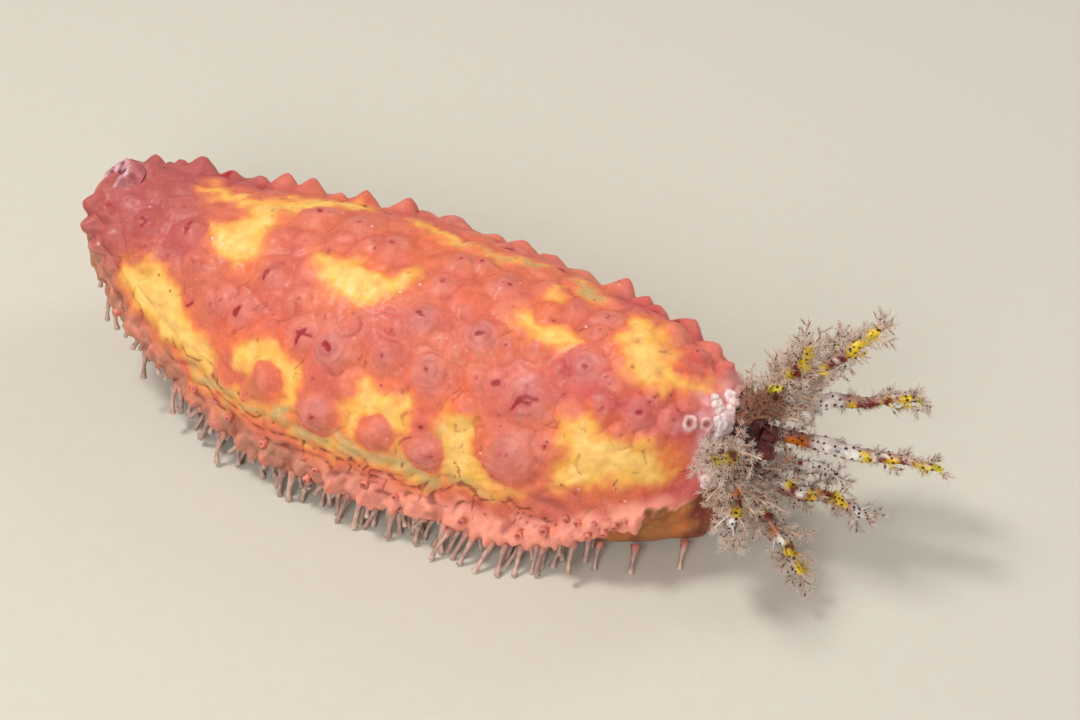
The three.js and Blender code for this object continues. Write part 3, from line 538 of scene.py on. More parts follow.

# strokes of the photo: x, y and half width in pixels along each
patches = {
    "orange": [
        [(180, 190, 5), (184, 212, 7), (198, 228, 6), (214, 232, 5)],
        [(108, 212, 8), (126, 222, 9), (140, 240, 7)],
        [(222, 338, 8), (245, 334, 8), (272, 336, 7), (290, 350, 5)], [(250, 230, 26), (246, 262, 16)],
        [(150, 296, 22), (190, 342, 20)], [(356, 279, 27)], [(262, 366, 24), (280, 396, 18)],
        [(380, 405, 26), (356, 440, 16)], [(452, 400, 20), (462, 460, 22)],
        [(590, 440, 26), (640, 466, 24), (670, 470, 16)], [(640, 346, 22), (660, 372, 20)], [(545, 336, 20)],
        [(552, 300, 14)], [(470, 300, 14)], [(600, 492, 14), (630, 494, 10)], [(415, 250, 12), (455, 238, 12)],
    ],
    "crimson": [
        [(140, 200, 18), (160, 225, 22), (178, 240, 16)],
        [(600, 400, 16), (640, 412, 24), (668, 428, 22), (690, 408, 14)],
        [(640, 482, 8), (680, 478, 12), (706, 470, 12)], [(648, 494, 5), (680, 494, 8), (704, 482, 10)],
        [(560, 360, 12), (600, 390, 14)], [(120, 215, 12)], [(700, 370, 16)],
    ],
    "lilac": [
        [(704, 400, 7), (702, 420, 9), (706, 440, 7)],
        [(704, 398, 6), (716, 403, 9), (724, 416, 9), (714, 432, 9)], [(730, 396, 7)],
        [(702, 470, 5), (709, 483, 6)], [(690, 423, 7), (706, 424, 8)],
    ],
    # dark red: blotches and single spots
    "dark": [
        [(514, 411, 1.4), (519, 403, 2), (526, 398, 2.2), (538, 400, 1.2)], [(526, 398, 1.6), (529, 388, 1)],
        [(522, 401, 1.8), (531, 404, 1.6)], [(330, 346, 3.4), (333, 350, 2.6)],
        [(298, 342, 1.6), (304, 334, 3), (308, 329, 1.8)], [(301, 332, 1.6), (311, 336, 1.6)],
        [(237, 314, 2.6), (243, 308, 2.4)], [(270, 276, 2.2), (275, 273, 1.6)],
        [(266, 281, 1.4), (268, 277, 1.4)], [(144, 228, 2.6), (150, 223, 2.4)],
        [(143, 219, 1.6), (145, 225, 1.6)], [(187, 236, 1.8), (190, 229, 2.4), (192, 226, 1.4)],
        [(187, 306, 1.8), (192, 302, 2.2)], [(484, 336, 2.4), (478, 335, 2)], [(420, 316, 2), (424, 320, 2.2)],
        [(494, 384, 2), (499, 382, 1.8)], [(586, 367, 2.2)], [(608, 318, 1.8)],
        [(637, 413, 1.8), (641, 411, 1.6)], [(655, 398, 1.6)], [(600, 409, 1.4), (606, 405, 1.4)],
        [(504, 452, 1.7)], [(544, 446, 2.2)], [(507, 348, 1.8)], [(320, 214, 1.8), (322, 217, 1.5)],
        [(359, 225, 1.6)], [(392, 246, 1.7)], [(460, 263, 1.6)], [(482, 264, 2)], [(443, 283, 2)],
        [(497, 286, 1.6)], [(510, 289, 2)], [(311, 213, 1.4)], [(376, 244, 1)], [(385, 357, 1.6)],
        [(315, 417, 1.6), (320, 415, 1.2)], [(431, 371, 1.8)], [(421, 428, 1.6)],
        [(426, 452, 1.3), (433, 455, 1.2)], [(553, 320, 1.6)], [(638, 342, 1.4)], [(661, 373, 1)],
        [(607, 378, 1.4)], [(375, 285, 1.3), (377, 282, 1)], [(213, 306, 1.4)], [(202, 262, 1.3)],
        [(167, 254, 1.3)], [(300, 250, 1)], [(308, 283, 1.2)], [(327, 317, 1.2)], [(392, 331, 1)],
        [(477, 380, 1.4)], [(508, 347, 1.6)], [(564, 395, 1.2)], [(605, 380, 1.2)], [(620, 407, 1.2)],
        [(650, 402, 1.2)], [(672, 396, 1.2)], [(676, 411, 1.2)], [(648, 432, 1)], [(534, 476, 1)],
        [(534, 480, 1)], [(110, 206, 1.6)], [(195, 265, 1.2)], [(300, 309, 1.2)], [(283, 262, 1)],
    ],
    # thin lines in the folds: grooves, darkened with painted shade
    "crease": [
        [(264, 213, 1), (300, 205, 1), (330, 203, 1), (380, 211, 1.2), (420, 222, 1), (470, 240, .8)],
        [(405, 395, 1), (404, 430, 1.2), (405, 467, 1)], [(457, 398, 1), (455, 430, 1), (460, 478, 1)],
        [(407, 350, .8), (405, 392, .8)], [(448, 372, .8), (450, 398, .8)], [(362, 345, .8), (361, 368, .8)],
        [(566, 425, 1), (564, 455, 1), (558, 482, 1)], [(534, 430, .8), (535, 462, .8), (531, 480, .8)],
        [(612, 440, .8), (611, 462, .8), (618, 484, .8)], [(644, 452, .8), (646, 470, .8)],
        [(582, 424, .7), (580, 450, .7), (576, 478, .7)], [(480, 420, .8), (478, 450, 1), (486, 476, 1)],
        [(470, 392, .8), (500, 424, .8), (540, 428, .8), (556, 424, .6)], [(331, 228, .8), (328, 256, .8)],
        [(392, 246, .7), (380, 252, .7), (372, 262, .7)], [(290, 196, .8), (272, 218, .8), (266, 228, .8)],
        [(570, 372, .8), (574, 400, .8), (562, 418, .8)], [(603, 352, .7), (612, 372, .7), (604, 392, .7)],
        [(340, 372, .8), (300, 376, .8)],
        [(262, 436, 1.1), (300, 460, 1.1), (350, 481, 1.2), (400, 497, 1), (440, 506, .8)],
        [(270, 424, .8), (320, 452, 1), (362, 468, 1), (410, 481, 1), (446, 493, .8)],
        [(300, 472, .9), (350, 491, 1), (396, 507, .8)],
        [(450, 470, 1.1), (468, 491, 1.1), (500, 504, 1), (540, 512, .8)],
        [(508, 500, .8), (530, 514, .8), (560, 521, .7)], [(430, 498, .7), (450, 511, .7)],
        [(478, 505, .8), (494, 521, .7)], [(338, 462, .7), (352, 476, .7)],
        [(214, 378, .9), (244, 402, .9), (270, 420, .8)], [(180, 344, .8), (206, 368, .9), (222, 386, .7)],
        [(364, 492, .7), (384, 508, .7)], [(548, 500, .7), (566, 514, .7)], [(614, 488, .7), (626, 504, .7)],
        [(230, 330, .7), (252, 316, .7), (262, 300, .7)], [(263, 290, .7), (272, 318, .7), (266, 334, .7)],
    ],
}


# Signed gap in mm from every skin point to a set of strokes: the distance to each piece of
# a line less its half width there, and the smallest of all of them.
def strokeGap(strokes, limit=6.0, mirror=False, warp=0.24):
    points = (base + warp * np.stack([waves(base, 2.6, 31 + k) for k in range(3)], -1)).reshape(-1, 3)
    least = np.full(len(points), limit)
    for stroke in strokes:
        # a stroke of one place is a round spot
        stroke = np.array(stroke if len(stroke) > 1 else stroke * 2, float)
        places, shares, angles = castOnSkin(stroke[:, :2])[:3]
        widths = stroke[:, 2] * mmPerPixel
        sets = [places]
        if mirror and angles.max() < 75:
            sets.append(onTrunk(*farSide(shares, angles)))
        for line in sets:
            for a, b, wa, wb in zip(line[:-1], line[1:], widths[:-1], widths[1:]):
                way = b - a
                t = np.clip(((points - a) @ way) / max(way @ way, 1e-9), 0, 1)
                gap = np.linalg.norm(points - a - t[:, None] * way, axis=1) - (wa + (wb - wa) * t)
                least = np.minimum(least, gap)
    return least.reshape(base.shape[:2])


# The back unrolled to a flat chart in mm: along the body, and round it at its mean radius.
def onChart(share, degrees):
    half, dome = section(share)[:2]
    return np.stack([share * trunkForm["length"], np.radians(degrees) * (half + dome) / 2], -1)


# Signed gap in mm from every skin point to closed outlines on that chart: the distance to the
# nearest edge, below 0 where a line to the side crosses the outline an odd number of times.
def outlineGap(closed, limit=6.0, bend=0.3):
    points = onChart(shareGrid, np.clip(degreesGrid, -4, 184)).reshape(-1, 2)
    ragged = [waves(base, 2.8, 41 + k) + 0.4 * waves(base, 1.1, 43 + k) for k in range(2)]
    points = points + bend * np.stack(ragged, -1).reshape(-1, 2)
    least = np.full(len(points), limit)
    for outline in closed:
        shares, angles = castOnSkin(outline)[1:3]
        rings = [onChart(shares, angles)]
        # a low patch has its like on the far flank
        if angles.max() < 75:
            rings.append(onChart(*farSide(shares, angles)))
        for ring in rings:
            ahead = np.roll(ring, -1, 0)
            way = ahead - ring
            off = points[:, None] - ring
            t = np.clip((off * way).sum(-1) / np.maximum((way * way).sum(-1), 1e-9), 0, 1)
            gap = np.linalg.norm(off - t[..., None] * way, axis=-1).min(1)
            level = (ring[:, 1] > points[:, 1:]) != (ahead[:, 1] > points[:, 1:])
            slope = way[:, 0] / np.where(way[:, 1] == 0, 1e-9, way[:, 1])
            crossed = level & (off[..., 0] < slope * off[..., 1])
            least = np.minimum(least, np.where(crossed.sum(1) % 2 == 1, -gap, gap))
    return least.reshape(base.shape[:2])


goldGap = outlineGap(outlines["gold"])
oliveGap = outlineGap(outlines["olive"])
orangeGap = strokeGap(patches["orange"], mirror=True)
crimsonGap = strokeGap(patches["crimson"], mirror=True)
lilacGap = strokeGap(patches["lilac"])
darkGap = strokeGap(patches["dark"], mirror=True, warp=0.1)
creaseGap = strokeGap(patches["crease"], mirror=True, warp=0.35)
print("patches laid on")


# heights in mm of the parts of the relief, and the pitch of the nubs
skinRelief = {
    "cushion": 0.26, "fold": 0.12, "ring": 0.05, "pit": 0.26, "knob": 0.2, "wrinkle": 0.3, "fine": 0.03,
    "crease": 0.13, "nubs": 0.5, "nubPitch": 1.5, "margin": 1.0, "sweep": 0.1,
}


# Nearest dome of each skin point, measured in that dome's radii, and how far the next is.
def nearestDome():
    points = base.reshape(-1, 3)
    near = np.full(len(points), 9.0)
    second = near.copy()
    owner = np.zeros(len(points), int)
    for number, (place, measure) in enumerate(zip(domePlaces, domeMeasures)):
        gap = np.linalg.norm(points - place, axis=1) / measure[0]
        closer = gap < near
        second = np.where(closer, near, np.minimum(second, gap))
        owner = np.where(closer, number, owner)
        near = np.where(closer, gap, near)
    shape = base.shape[:2]
    return near.reshape(shape), second.reshape(shape), owner.reshape(shape)


near, second, owner = nearestDome()
radius, height, rings, mauve, pit, point = [domeMeasures[owner, i] for i in range(6)]
onBack = smooth(6, 16, degreesGrid) * smooth(174, 164, degreesGrid)
onBack *= smooth(1.0, 0.975, shareGrid) * smooth(0.0, 0.03, shareGrid)
belly = (degreesGrid > 200).astype(float)
rimPart = np.clip((np.arange(rowsAll) - trunkRows + 1) / skinGrid["rim"], 0, 1)[:, None]
flank = np.maximum(smooth(34, 8, degreesGrid) * (degreesGrid >= 0),
                   smooth(146, 172, degreesGrid) * (degreesGrid <= 180))
marginHeight = base[..., 2] - section(shareGrid)[2]
nearMargin = (np.exp(-(marginHeight / 1.9) ** 2) * (degreesGrid < 200)
              * smooth(0.02, 0.07, shareGrid) * smooth(0.965, 0.93, shareGrid))


arcs = smooth(-0.5, 0.7, waves(base, 3.4, 16))
lined = (smooth(0, 5, degreesGrid) * smooth(180, 175, degreesGrid)
         * smooth(1.0, 0.975, shareGrid) * smooth(0.0, 0.03, shareGrid))
# long wrinkles on the lower flank: the size of a sine of the height, bent by soft waves
wrinkleBend = 1.1 * waves(base * [0.45, 1, 1], 8, 5) + 0.35 * waves(base, 3.5, 6)
ridge = np.abs(np.sin((marginHeight + wrinkleBend) * 1.9))


# Height of the skin over the smooth trunk, in mm: a round or pointed rise on each dome with
# a knob and a pit, folds where two domes meet, wrinkles along the flank, three rows of nubs
# on the margin, fine swept lines at the head, and small waves everywhere.
def relief():
    r = skinRelief
    reach = np.clip(near, 0, 1)
    roundRise = (1 - reach**2) ** 2
    pointRise = np.clip(1.04 - np.sqrt(reach**2 + 0.05), 0, 1) ** 1.25
    rise = height * ((1 - point) * roundRise + point * pointRise)
    away = near * radius
    rise += r["knob"] * rings * np.exp(-(away / 0.75) ** 2) - r["pit"] * pit * np.exp(-(away / 0.33) ** 2)
    # rings show only as arcs: soft waves fade them in and out
    ripple = r["ring"] * rings * np.cos(2 * np.pi * away / 0.95)
    rise += ripple * smooth(0.25, 0.4, near) * smooth(1.15, 0.9, near) * arcs
    edge = second - near
    rise += r["cushion"] * (smooth(0, 0.9, edge) - 0.5) * (0.6 + 0.4 * waves(base, 7, 17))
    rise -= r["fold"] * np.exp(-(edge / 0.11) ** 2) * smooth(2.2, 1.1, near) * smooth(-0.4, 0.8, waves(base, 6, 18))
    rise -= 0.18 * smooth(0.25, -0.3, darkGap)
    rise *= onBack
    groove = r["crease"] * np.exp(-(np.maximum(creaseGap, 0) / 0.24) ** 2)
    rise -= lined * groove * (0.7 + 0.3 * waves(base, 2.5, 19))
    # flank wrinkles run along the body, each a soft ridge with sharp hollows
    x, lift = base[..., 0], marginHeight
    rise += r["wrinkle"] * (np.clip(ridge, 0, 1) - 0.6) * flank * lined * 1.3 * smooth(0.93, 0.84, shareGrid)
    # nubs on the margin, in three rows that drift apart
    pitch = r["nubPitch"]
    for row, level in enumerate((-1.1, 0.1, 1.2)):
        beat = x / (pitch * (1 + 0.2 * row)) + 0.37 * row + 0.4 * waves(base, 6, 7 + row)
        shift = level + 0.5 * waves(base * [1, 0, 0], 3.1, 33 + row)
        lump = np.exp(-((beat - np.round(beat)) * pitch / 0.7) ** 2 - ((lift - shift) / 0.85) ** 2)
        rise += r["nubs"] * np.clip(0.7 + 0.5 * waves(base, 3.3, 9 + row), 0.1, 1.6) * lump * nearMargin
    rise += r["margin"] * (0.22 * waves(base, 1.5, 11) + 0.3 * waves(base, 4, 34)) * nearMargin
    # swept lines behind the mouth
    head = smooth(0.86, 0.95, shareGrid) * smooth(1.0, 0.985, shareGrid)
    sweepLines = np.abs(np.sin(np.radians(degreesGrid) * 17 + 0.8 * waves(base, 5, 12)))
    rise += r["sweep"] * (sweepLines - 0.6) * head * (degreesGrid >= 0) * (degreesGrid <= 180)
    rise += r["fine"] * (waves(base, 1.6, 13) + 0.7 * waves(base, 0.9, 14)) * (0.4 + 0.6 * onBack)
    # the belly is smooth, with a few lengthwise folds
    rise += belly * 0.12 * waves(base * [0.25, 1, 1], 2.6, 15)
    rise *= smooth(0.0, 0.012, shareGrid)
    return np.where(np.arange(rowsAll)[:, None] > trunkRows + 2, 0, rise), edge


rise, edge = relief()
skinPoints = base + normals * rise[..., None]

# colours: salmon, shaded by large soft waves, then crimson, orange, gold and olive; the fold and hollow colours are
# painted shade, the top colour a painted highlight, and the dark belly end colour also serves as painted shade
# under the lip and inside the mouth's rim
skinPaint = {
    "salmon": (222, 118, 86), "rose": (216, 108, 90), "mauve": (204, 128, 122), "crimson": (198, 68, 74),
    "orange": (236, 112, 52), "gold": (250, 192, 84), "pale": (250, 201, 112), "olive": (206, 172, 110),
    "margin": (246, 160, 136), "marginRear": (180, 122, 97), "flank": (190, 124, 84), "rear": (176, 86, 86),
    "fold": (196, 74, 60), "hollow": (156, 74, 58), "top": (238, 142, 122), "lilac": (240, 176, 180),
    "belly": (180, 108, 54), "bellyOlive": (146, 104, 50), "bellyEndAndShade": (120, 24, 28),
    "underside": (196, 118, 84), "rim": (238, 176, 182),
}

# where the pink skin ends under the head, as x and y in the photo's pixels
pinkEdge = [(600, 560), (638, 531), (644, 511), (704, 507), (712, 492), (726, 478)]


# The tint and the patches' gold of every skin point, laid on in layers from below upwards.
def skinTints():
    p = {key: paint(*value) for key, value in skinPaint.items()}
    tint = blend(p["salmon"], p["rose"], 0.5 + 0.5 * waves(base, 9, 21))
    tint = blend(tint, p["crimson"], 0.68 * smooth(2.0, -1.5, crimsonGap + 0.5 * waves(base, 4, 22)))
    tint = blend(tint, p["orange"], 0.42 * smooth(2.2, -1.8, orangeGap + 0.7 * waves(base, 3.5, 23)))
    # painted shade: a darker, redder colour in the folds where two domes meet
    tint = blend(tint, p["fold"], 0.34 * np.exp(-(edge / 0.2) ** 2) * smooth(2.0, 1.1, near) * onBack)
    # painted highlight: paler pink on the dome tops
    tint = blend(tint, p["top"], 0.42 * smooth(1.0, 0.6, near) * smooth(-1, 1, waves(base, 5, 39)) * onBack)
    tint = blend(tint, p["mauve"], 0.7 * mauve * smooth(1.0, 0.1, near + 0.12 * waves(base, 2.2, 38)) * onBack)
    tint = blend(tint, p["rear"], 0.85 * smooth(0.34, 0.08, shareGrid + 0.02 * waves(base, 6, 35)) * onBack)
    lowFlank = 0.8 * smooth(7.5, 4.0, marginHeight + waves(base, 5, 29)) * onBack
    tint = blend(tint, p["flank"], lowFlank * smooth(0.78, 0.6, shareGrid) * smooth(0.05, 0.14, shareGrid))
    # painted shade makes the hollows between wrinkles darker and redder, and a painted highlight makes their tops
    # paler
    hollow = smooth(0.42, 0.05, ridge) * flank * lined * smooth(0.93, 0.84, shareGrid)
    edgeTint = blend(p["margin"], p["marginRear"], smooth(0.66, 0.42, shareGrid))
    tint = blend(tint, edgeTint, smooth(3.6, 1.2, marginHeight + 0.5 * waves(base, 3, 24)) * (degreesGrid < 200))
    # the lip under the head stays crimson
    lip = smooth(1.6, -0.8, crimsonGap + 0.4 * waves(base, 2.5, 46)) * smooth(0.86, 0.91, shareGrid)
    tint = blend(tint, p["crimson"], 0.7 * (lip * smooth(7, 4.5, marginHeight)))
    # painted shade in the wrinkles' hollows and between the margin's nubs, and a painted highlight on the raised
    # nubs
    tint = blend(tint, p["hollow"], 0.55 * hollow)
    tint = blend(tint, p["hollow"], 0.6 * smooth(0.0, -0.35, rise) * nearMargin)
    tint = blend(tint, p["top"], 0.5 * smooth(0.25, 0.8, rise) * nearMargin)
    stripes = 0.5 + 0.5 * waves(base * [0.12, 1, 1], 1.5, 25)
    under = blend(p["belly"], p["bellyOlive"], stripes)
    under = blend(p["underside"], under, smooth(0.62, 0.74, shareGrid))
    under = blend(under, p["bellyEndAndShade"], 0.7 * smooth(0.985, 1.003, shareGrid + 0.008 * waves(base, 3, 26)))
    tint = blend(tint, under, belly * smooth(-1.0, -1.8, marginHeight))
    # the pink skin ends at that line, the same on both sides
    x, y = np.moveaxis(toPixels(base * [1, 0, 1] - np.abs(base) * [0, 1, 0]), -1, 0)
    edgeLine = linear(pinkEdge, x) + 3.0 * waves(base, 1.3, 44)
    bare = smooth(-1.5, 2.5, y - edgeLine) * smooth(0.9, 0.93, shareGrid) * (np.abs(degreesGrid - 90) > 50)
    tint = blend(tint, under, bare)
    # painted shadow of the lip: a dark red band just below that line
    tint = blend(tint, p["bellyEndAndShade"], 0.45 * np.exp(-((y - edgeLine - 7) / 6) ** 2) * bare)
    tint = blend(tint, p["lilac"], 0.85 * smooth(1.1, -0.6, lilacGap + 0.3 * waves(base, 1.6, 36)))
    tint = blend(tint, p["rim"], 0.55 * smooth(0.975, 0.995, shareGrid) * smooth(2.5, 4.5, marginHeight))
    # painted shade: the rim turns dark where it rolls into the mouth
    tint = blend(tint, p["bellyEndAndShade"], smooth(0.3, 0.75, rimPart + 0 * shareGrid))
    gold = blend(p["gold"], p["pale"], smooth(0.1, -1.6, goldGap + 0.3 * waves(base, 3, 27)))
    oliveHere = smooth(0.6, -0.8, oliveGap + 0.3 * waves(base, 2.4, 28)) * smooth(-1.0, 0.6, goldGap)
    gold = blend(gold, p["olive"], oliveHere)
    return tint, gold


tint, gold = skinTints()
yellowGap = np.minimum(goldGap, oliveGap)
# a dome inside a patch stays pink
pinkDome = smooth(1.05, 0.75, near + 0.06 * waves(base, 2, 37)) * (mauve > 0.15) * (radius > 2.3)
yellowGap = yellowGap + 2.2 * pinkDome
print("skin worked out")


# gap to the nearest fold: a marked crease, the meeting of two domes, or a flank wrinkle
foldGap = np.minimum(creaseGap, edge * radius + 0.25 * smooth(0.8, -0.4, waves(base, 6, 18)))
wrinkleGap = ridge * 0.5 + 0.5 * (1 - flank) + 0.2 * smooth(0.2, -0.6, waves(base, 5, 45))
wrinkleGap += 0.3 * smooth(0.82, 0.9, shareGrid)
foldGap = np.minimum(foldGap, np.where(flank * lined > 0.25, wrinkleGap, 9))
marks = np.stack([np.clip(yellowGap, -6, 6), near * radius, darkGap, foldGap], -1)
measures = np.stack([rings * onBack * arcs, pit * onBack, flank * lined, lined], -1)
skin = makePiece("skin", withPoles(skinPoints, rearPole, frontPole), *closedFaces(rowsAll, columns), {
    "tint": withPoles(tint, tint[0, 0], tint[-1, 0]),
    "gold": withPoles(gold, gold[0, 0], gold[-1, 0]),
    "marks": withPoles(marks, marks[0, 0], marks[-1, 0]),
    "measures": withPoles(measures, measures[0, 0], measures[-1, 0]),
})
print("skin made:", len(skin.data.polygons), "faces")


# The linear colour with a fourth number of 1, as a node's socket takes it.
def rgba(*colour):
    return (*paint(*colour), 1.0)


# A material in the making. Each call adds a node and gives back the node or its result.
class Finish:
    def __init__(self, name):
        self.made = bpy.data.materials.new(name)
        self.made.use_nodes = True
        self.tree = self.made.node_tree
        self.tree.nodes.clear()
        self.where = self.add("TexCoord").outputs["Object"]

    # inputs go by name, or by number as i0, i1 and so on, and are plain values or links
    def add(self, kind, settings=None, **inputs):
        node = self.tree.nodes.new("ShaderNode" + kind)
        for key, value in (settings or {}).items():
            setattr(node, key, value)
        for key, value in inputs.items():
            socket = node.inputs[int(key[1:]) if key[1:].isdigit() else key.replace("_", " ")]
            if isinstance(value, bpy.types.NodeSocket):
                self.tree.links.new(value, socket)
            else:
                socket.default_value = value
        return node

    def sums(self, operation, a, b=0.0):
        return self.add("Math", {"operation": operation}, i0=a, i1=b, i2=0.0).outputs[0]

    def times(self, a, b):
        return self.sums("MULTIPLY", a, b)

    def plus(self, a, b):
        return self.sums("ADD", a, b)

    # a value made uneven by noise: value + (noise - 0.5)·amount
    def uneven(self, value, noise, amount):
        return self.plus(value, self.times(self.sums("SUBTRACT", noise, 0.5), amount))

    # 0 to 1 between low and high, or 1 to 0 when falling
    def ramp(self, value, low, high, falling=False):
        first, last = (1.0, 0.0) if falling else (0.0, 1.0)
        return self.add("MapRange", {"interpolation_type": "SMOOTHSTEP"},
                        i0=value, i1=low, i2=high, i3=first, i4=last).outputs[0]

    def mixed(self, share, under, over, mode="MIX"):
        return self.add("Mix", {"data_type": "RGBA", "blend_type": mode}, i0=share, i6=under, i7=over).outputs[2]

    def attribute(self, name):
        return self.add("Attribute", {"attribute_name": name, "attribute_type": "GEOMETRY"}).outputs

    def parts(self, colour):
        return self.add("SeparateColor", None, Color=colour).outputs

    def noise(self, scale, detail):
        return self.add("TexNoise", None, Vector=self.where, Scale=scale, Detail=detail,
                        Roughness=0.5, Distortion=0.0).outputs[0]

    # dots in the cells whose random number passes a limit
    def dots(self, scale, near, far, limit, channel=0):
        cells = self.add("TexVoronoi", {"feature": "F1"}, Vector=self.where, Scale=scale)
        pick = self.parts(cells.outputs["Color"])[channel]
        dot = self.ramp(cells.outputs["Distance"], near, far, True)
        return self.times(dot, self.ramp(pick, limit, limit + 0.02))

    # the surface, with its height bumped, and fixed numbers on the shader's own sockets
    def surface(self, colour, rough, height, strength, distance=1.0, **fixed):
        bump = self.add("Bump", None, Strength=strength, Distance=distance, Height=height)
        shader = self.add("BsdfPrincipled", None, Base_Color=colour, Roughness=rough,
                          Normal=bump.outputs[0], **fixed)
        self.add("OutputMaterial", None, Surface=shader.outputs[0])
        return self.made


# colours of 0 to 255, the heights of the fine relief in metres, and the textures' scales
skinFinish = {
    "noises": (260, 700, 2600), "dots": 430.0, "glints": 560.0, "cracks": 900.0,
    # the line colour on the next line is painted shade in the folds
    "halo": (242, 130, 66), "shade": (228, 214, 214), "bloom": (255, 206, 190), "line": (136, 52, 34),
    "ring": (160, 76, 66), "pit": (146, 18, 22), "spot": (146, 12, 18), "spotEdge": (180, 50, 62),
    # the pale speck colour on the next line is a painted glint
    "dot": (150, 20, 48), "glint": (255, 226, 210),
    "fineHigh": 0.00007, "middleHigh": 0.00014, "pebbleHigh": 0.00002, "ringDeep": -0.00006,
    "lineDeep": -0.00008, "glintHigh": 0.00005,
}


# The skin's finish: the painted tint, gold patches with broken orange edges, dark pits and spots,
# dark fold lines of painted shade, pale specks of painted glint, rings on the domes, and a fine pebbled, wet
# relief.
def skinMaterial():
    f, s = Finish("wetSkin"), skinFinish
    tintHere, goldHere = f.attribute("tint"), f.attribute("gold")
    marksHere, measuresHere = f.attribute("marks"), f.attribute("measures")
    yellow, away, dark = f.parts(marksHere["Color"])
    ringsHere, pitHere, flankHere = f.parts(measuresHere["Color"])
    fold, lineHere = marksHere["Alpha"], measuresHere["Alpha"]
    coarse, middle, fine = [f.noise(scale, 3) for scale in s["noises"]]

    # the gap to a patch, made ragged by noise, turns the tint to orange and then to gold
    ragged = f.uneven(f.uneven(yellow, coarse, 1.0), middle, 0.45)
    halo = f.times(f.ramp(ragged, 0.2, 2.4, True), f.plus(0.2, f.times(middle, 0.45)))
    colour = f.mixed(halo, tintHere["Color"], rgba(*s["halo"]))
    colour = f.mixed(f.ramp(ragged, -1.1, 1.1, True), colour, goldHere["Color"])
    # blotched lighter and darker
    shade = f.mixed(f.ramp(middle, 0.34, 0.68), rgba(*s["shade"]), rgba(255, 255, 255))
    colour = f.mixed(0.5, colour, shade, "MULTIPLY")
    colour = f.mixed(f.times(f.ramp(fine, 0.52, 0.72), 0.1), colour, rgba(*s["bloom"]))
    # thin dark lines of painted shade in the folds, and rings
    foldShadeLine = f.times(f.ramp(f.uneven(fold, middle, 0.14), 0.02, 0.21, True), lineHere)
    colour = f.mixed(f.times(foldShadeLine, f.plus(0.4, f.times(flankHere, 0.4))), colour, rgba(*s["line"]))
    wave = f.sums("SINE", f.times(f.uneven(away, coarse, 0.9), 6.6))
    band = f.times(ringsHere, f.times(f.ramp(away, 0.5, 0.9), f.ramp(away, 3.4, 2.2)))
    ringLine = f.times(f.ramp(wave, 0.0, 1.0), band)
    colour = f.mixed(f.times(ringLine, 0.22), colour, rgba(*s["ring"]))
    # pits and spots
    pitShare = f.times(f.ramp(f.uneven(away, middle, 0.5), 0.1, 0.34, True), f.times(pitHere, 0.75))
    colour = f.mixed(pitShare, colour, rgba(*s["pit"]))
    darkEdge = f.uneven(dark, middle, 0.4)
    colour = f.mixed(f.times(f.ramp(darkEdge, -0.1, 0.16, True), 0.92), colour, rgba(*s["spot"]))
    colour = f.mixed(f.times(f.ramp(darkEdge, 0.0, 0.9, True), 0.28), colour, rgba(*s["spotEdge"]))
    # small random red dots, and pale specks of painted glint
    redDots = f.times(f.dots(s["dots"], 0.05, 0.11, 0.8), lineHere)
    colour = f.mixed(f.times(redDots, 0.75), colour, rgba(*s["dot"]))
    glint = f.dots(s["glints"], 0.06, 0.15, 0.9, channel=1)
    colour = f.mixed(f.times(glint, 0.5), colour, rgba(*s["glint"]))

    # relief finer than the mesh
    cracks = f.add("TexVoronoi", {"feature": "DISTANCE_TO_EDGE"}, Vector=f.where, Scale=s["cracks"])
    pebble = f.ramp(cracks.outputs["Distance"], 0.0, 0.18)
    height = f.times(fine, s["fineHigh"])
    for part, key in ((middle, "middleHigh"), (pebble, "pebbleHigh"), (ringLine, "ringDeep"),
                      (foldShadeLine, "lineDeep"), (glint, "glintHigh")):
        height = f.plus(height, f.times(part, s[key]))
    return f.surface(colour, f.plus(0.42, f.times(middle, 0.2)), height, 0.42,
                     Subsurface_Weight=0.35, Subsurface_Radius=(1.0, 0.42, 0.22), Subsurface_Scale=0.0011,
                     Specular_IOR_Level=0.38, Coat_Weight=0.06, Coat_Roughness=0.18)


fleshFinish = {"noises": (900, 3600), "shade": (196, 186, 188), "radius": (1.0, 0.7, 0.55), "depth": 0.0007}


# A soft finish for the small parts: the painted tint, mottled, with specks of one colour.
def fleshMaterial(name, speck, speckScale, speckShare, weight=0.4, roughness=0.34, bumpHeight=0.00005):
    f, s = Finish(name), fleshFinish
    tintHere = f.attribute("tint")
    middle, fine = f.noise(s["noises"][0], 3), f.noise(s["noises"][1], 2)
    shade = f.mixed(f.ramp(middle, 0.34, 0.66), rgba(*s["shade"]), rgba(255, 255, 255))
    colour = f.mixed(0.8, tintHere["Color"], shade, "MULTIPLY")
    specks = f.times(f.dots(speckScale, 0.18, 0.3, 1 - speckShare), tintHere["Alpha"])
    colour = f.mixed(f.times(specks, 0.9), colour, speck)
    height = f.plus(f.times(middle, bumpHeight * 2), f.times(fine, bumpHeight))
    return f.surface(colour, f.plus(roughness, f.times(middle, 0.16)), height, 0.7,
                     Subsurface_Weight=weight, Subsurface_Radius=s["radius"], Subsurface_Scale=s["depth"],
                     Specular_IOR_Level=0.5)


skin.data.materials.append(skinMaterial())
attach(skin, "root")
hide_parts("body_rear", "body_middle", "body_front", "sole")


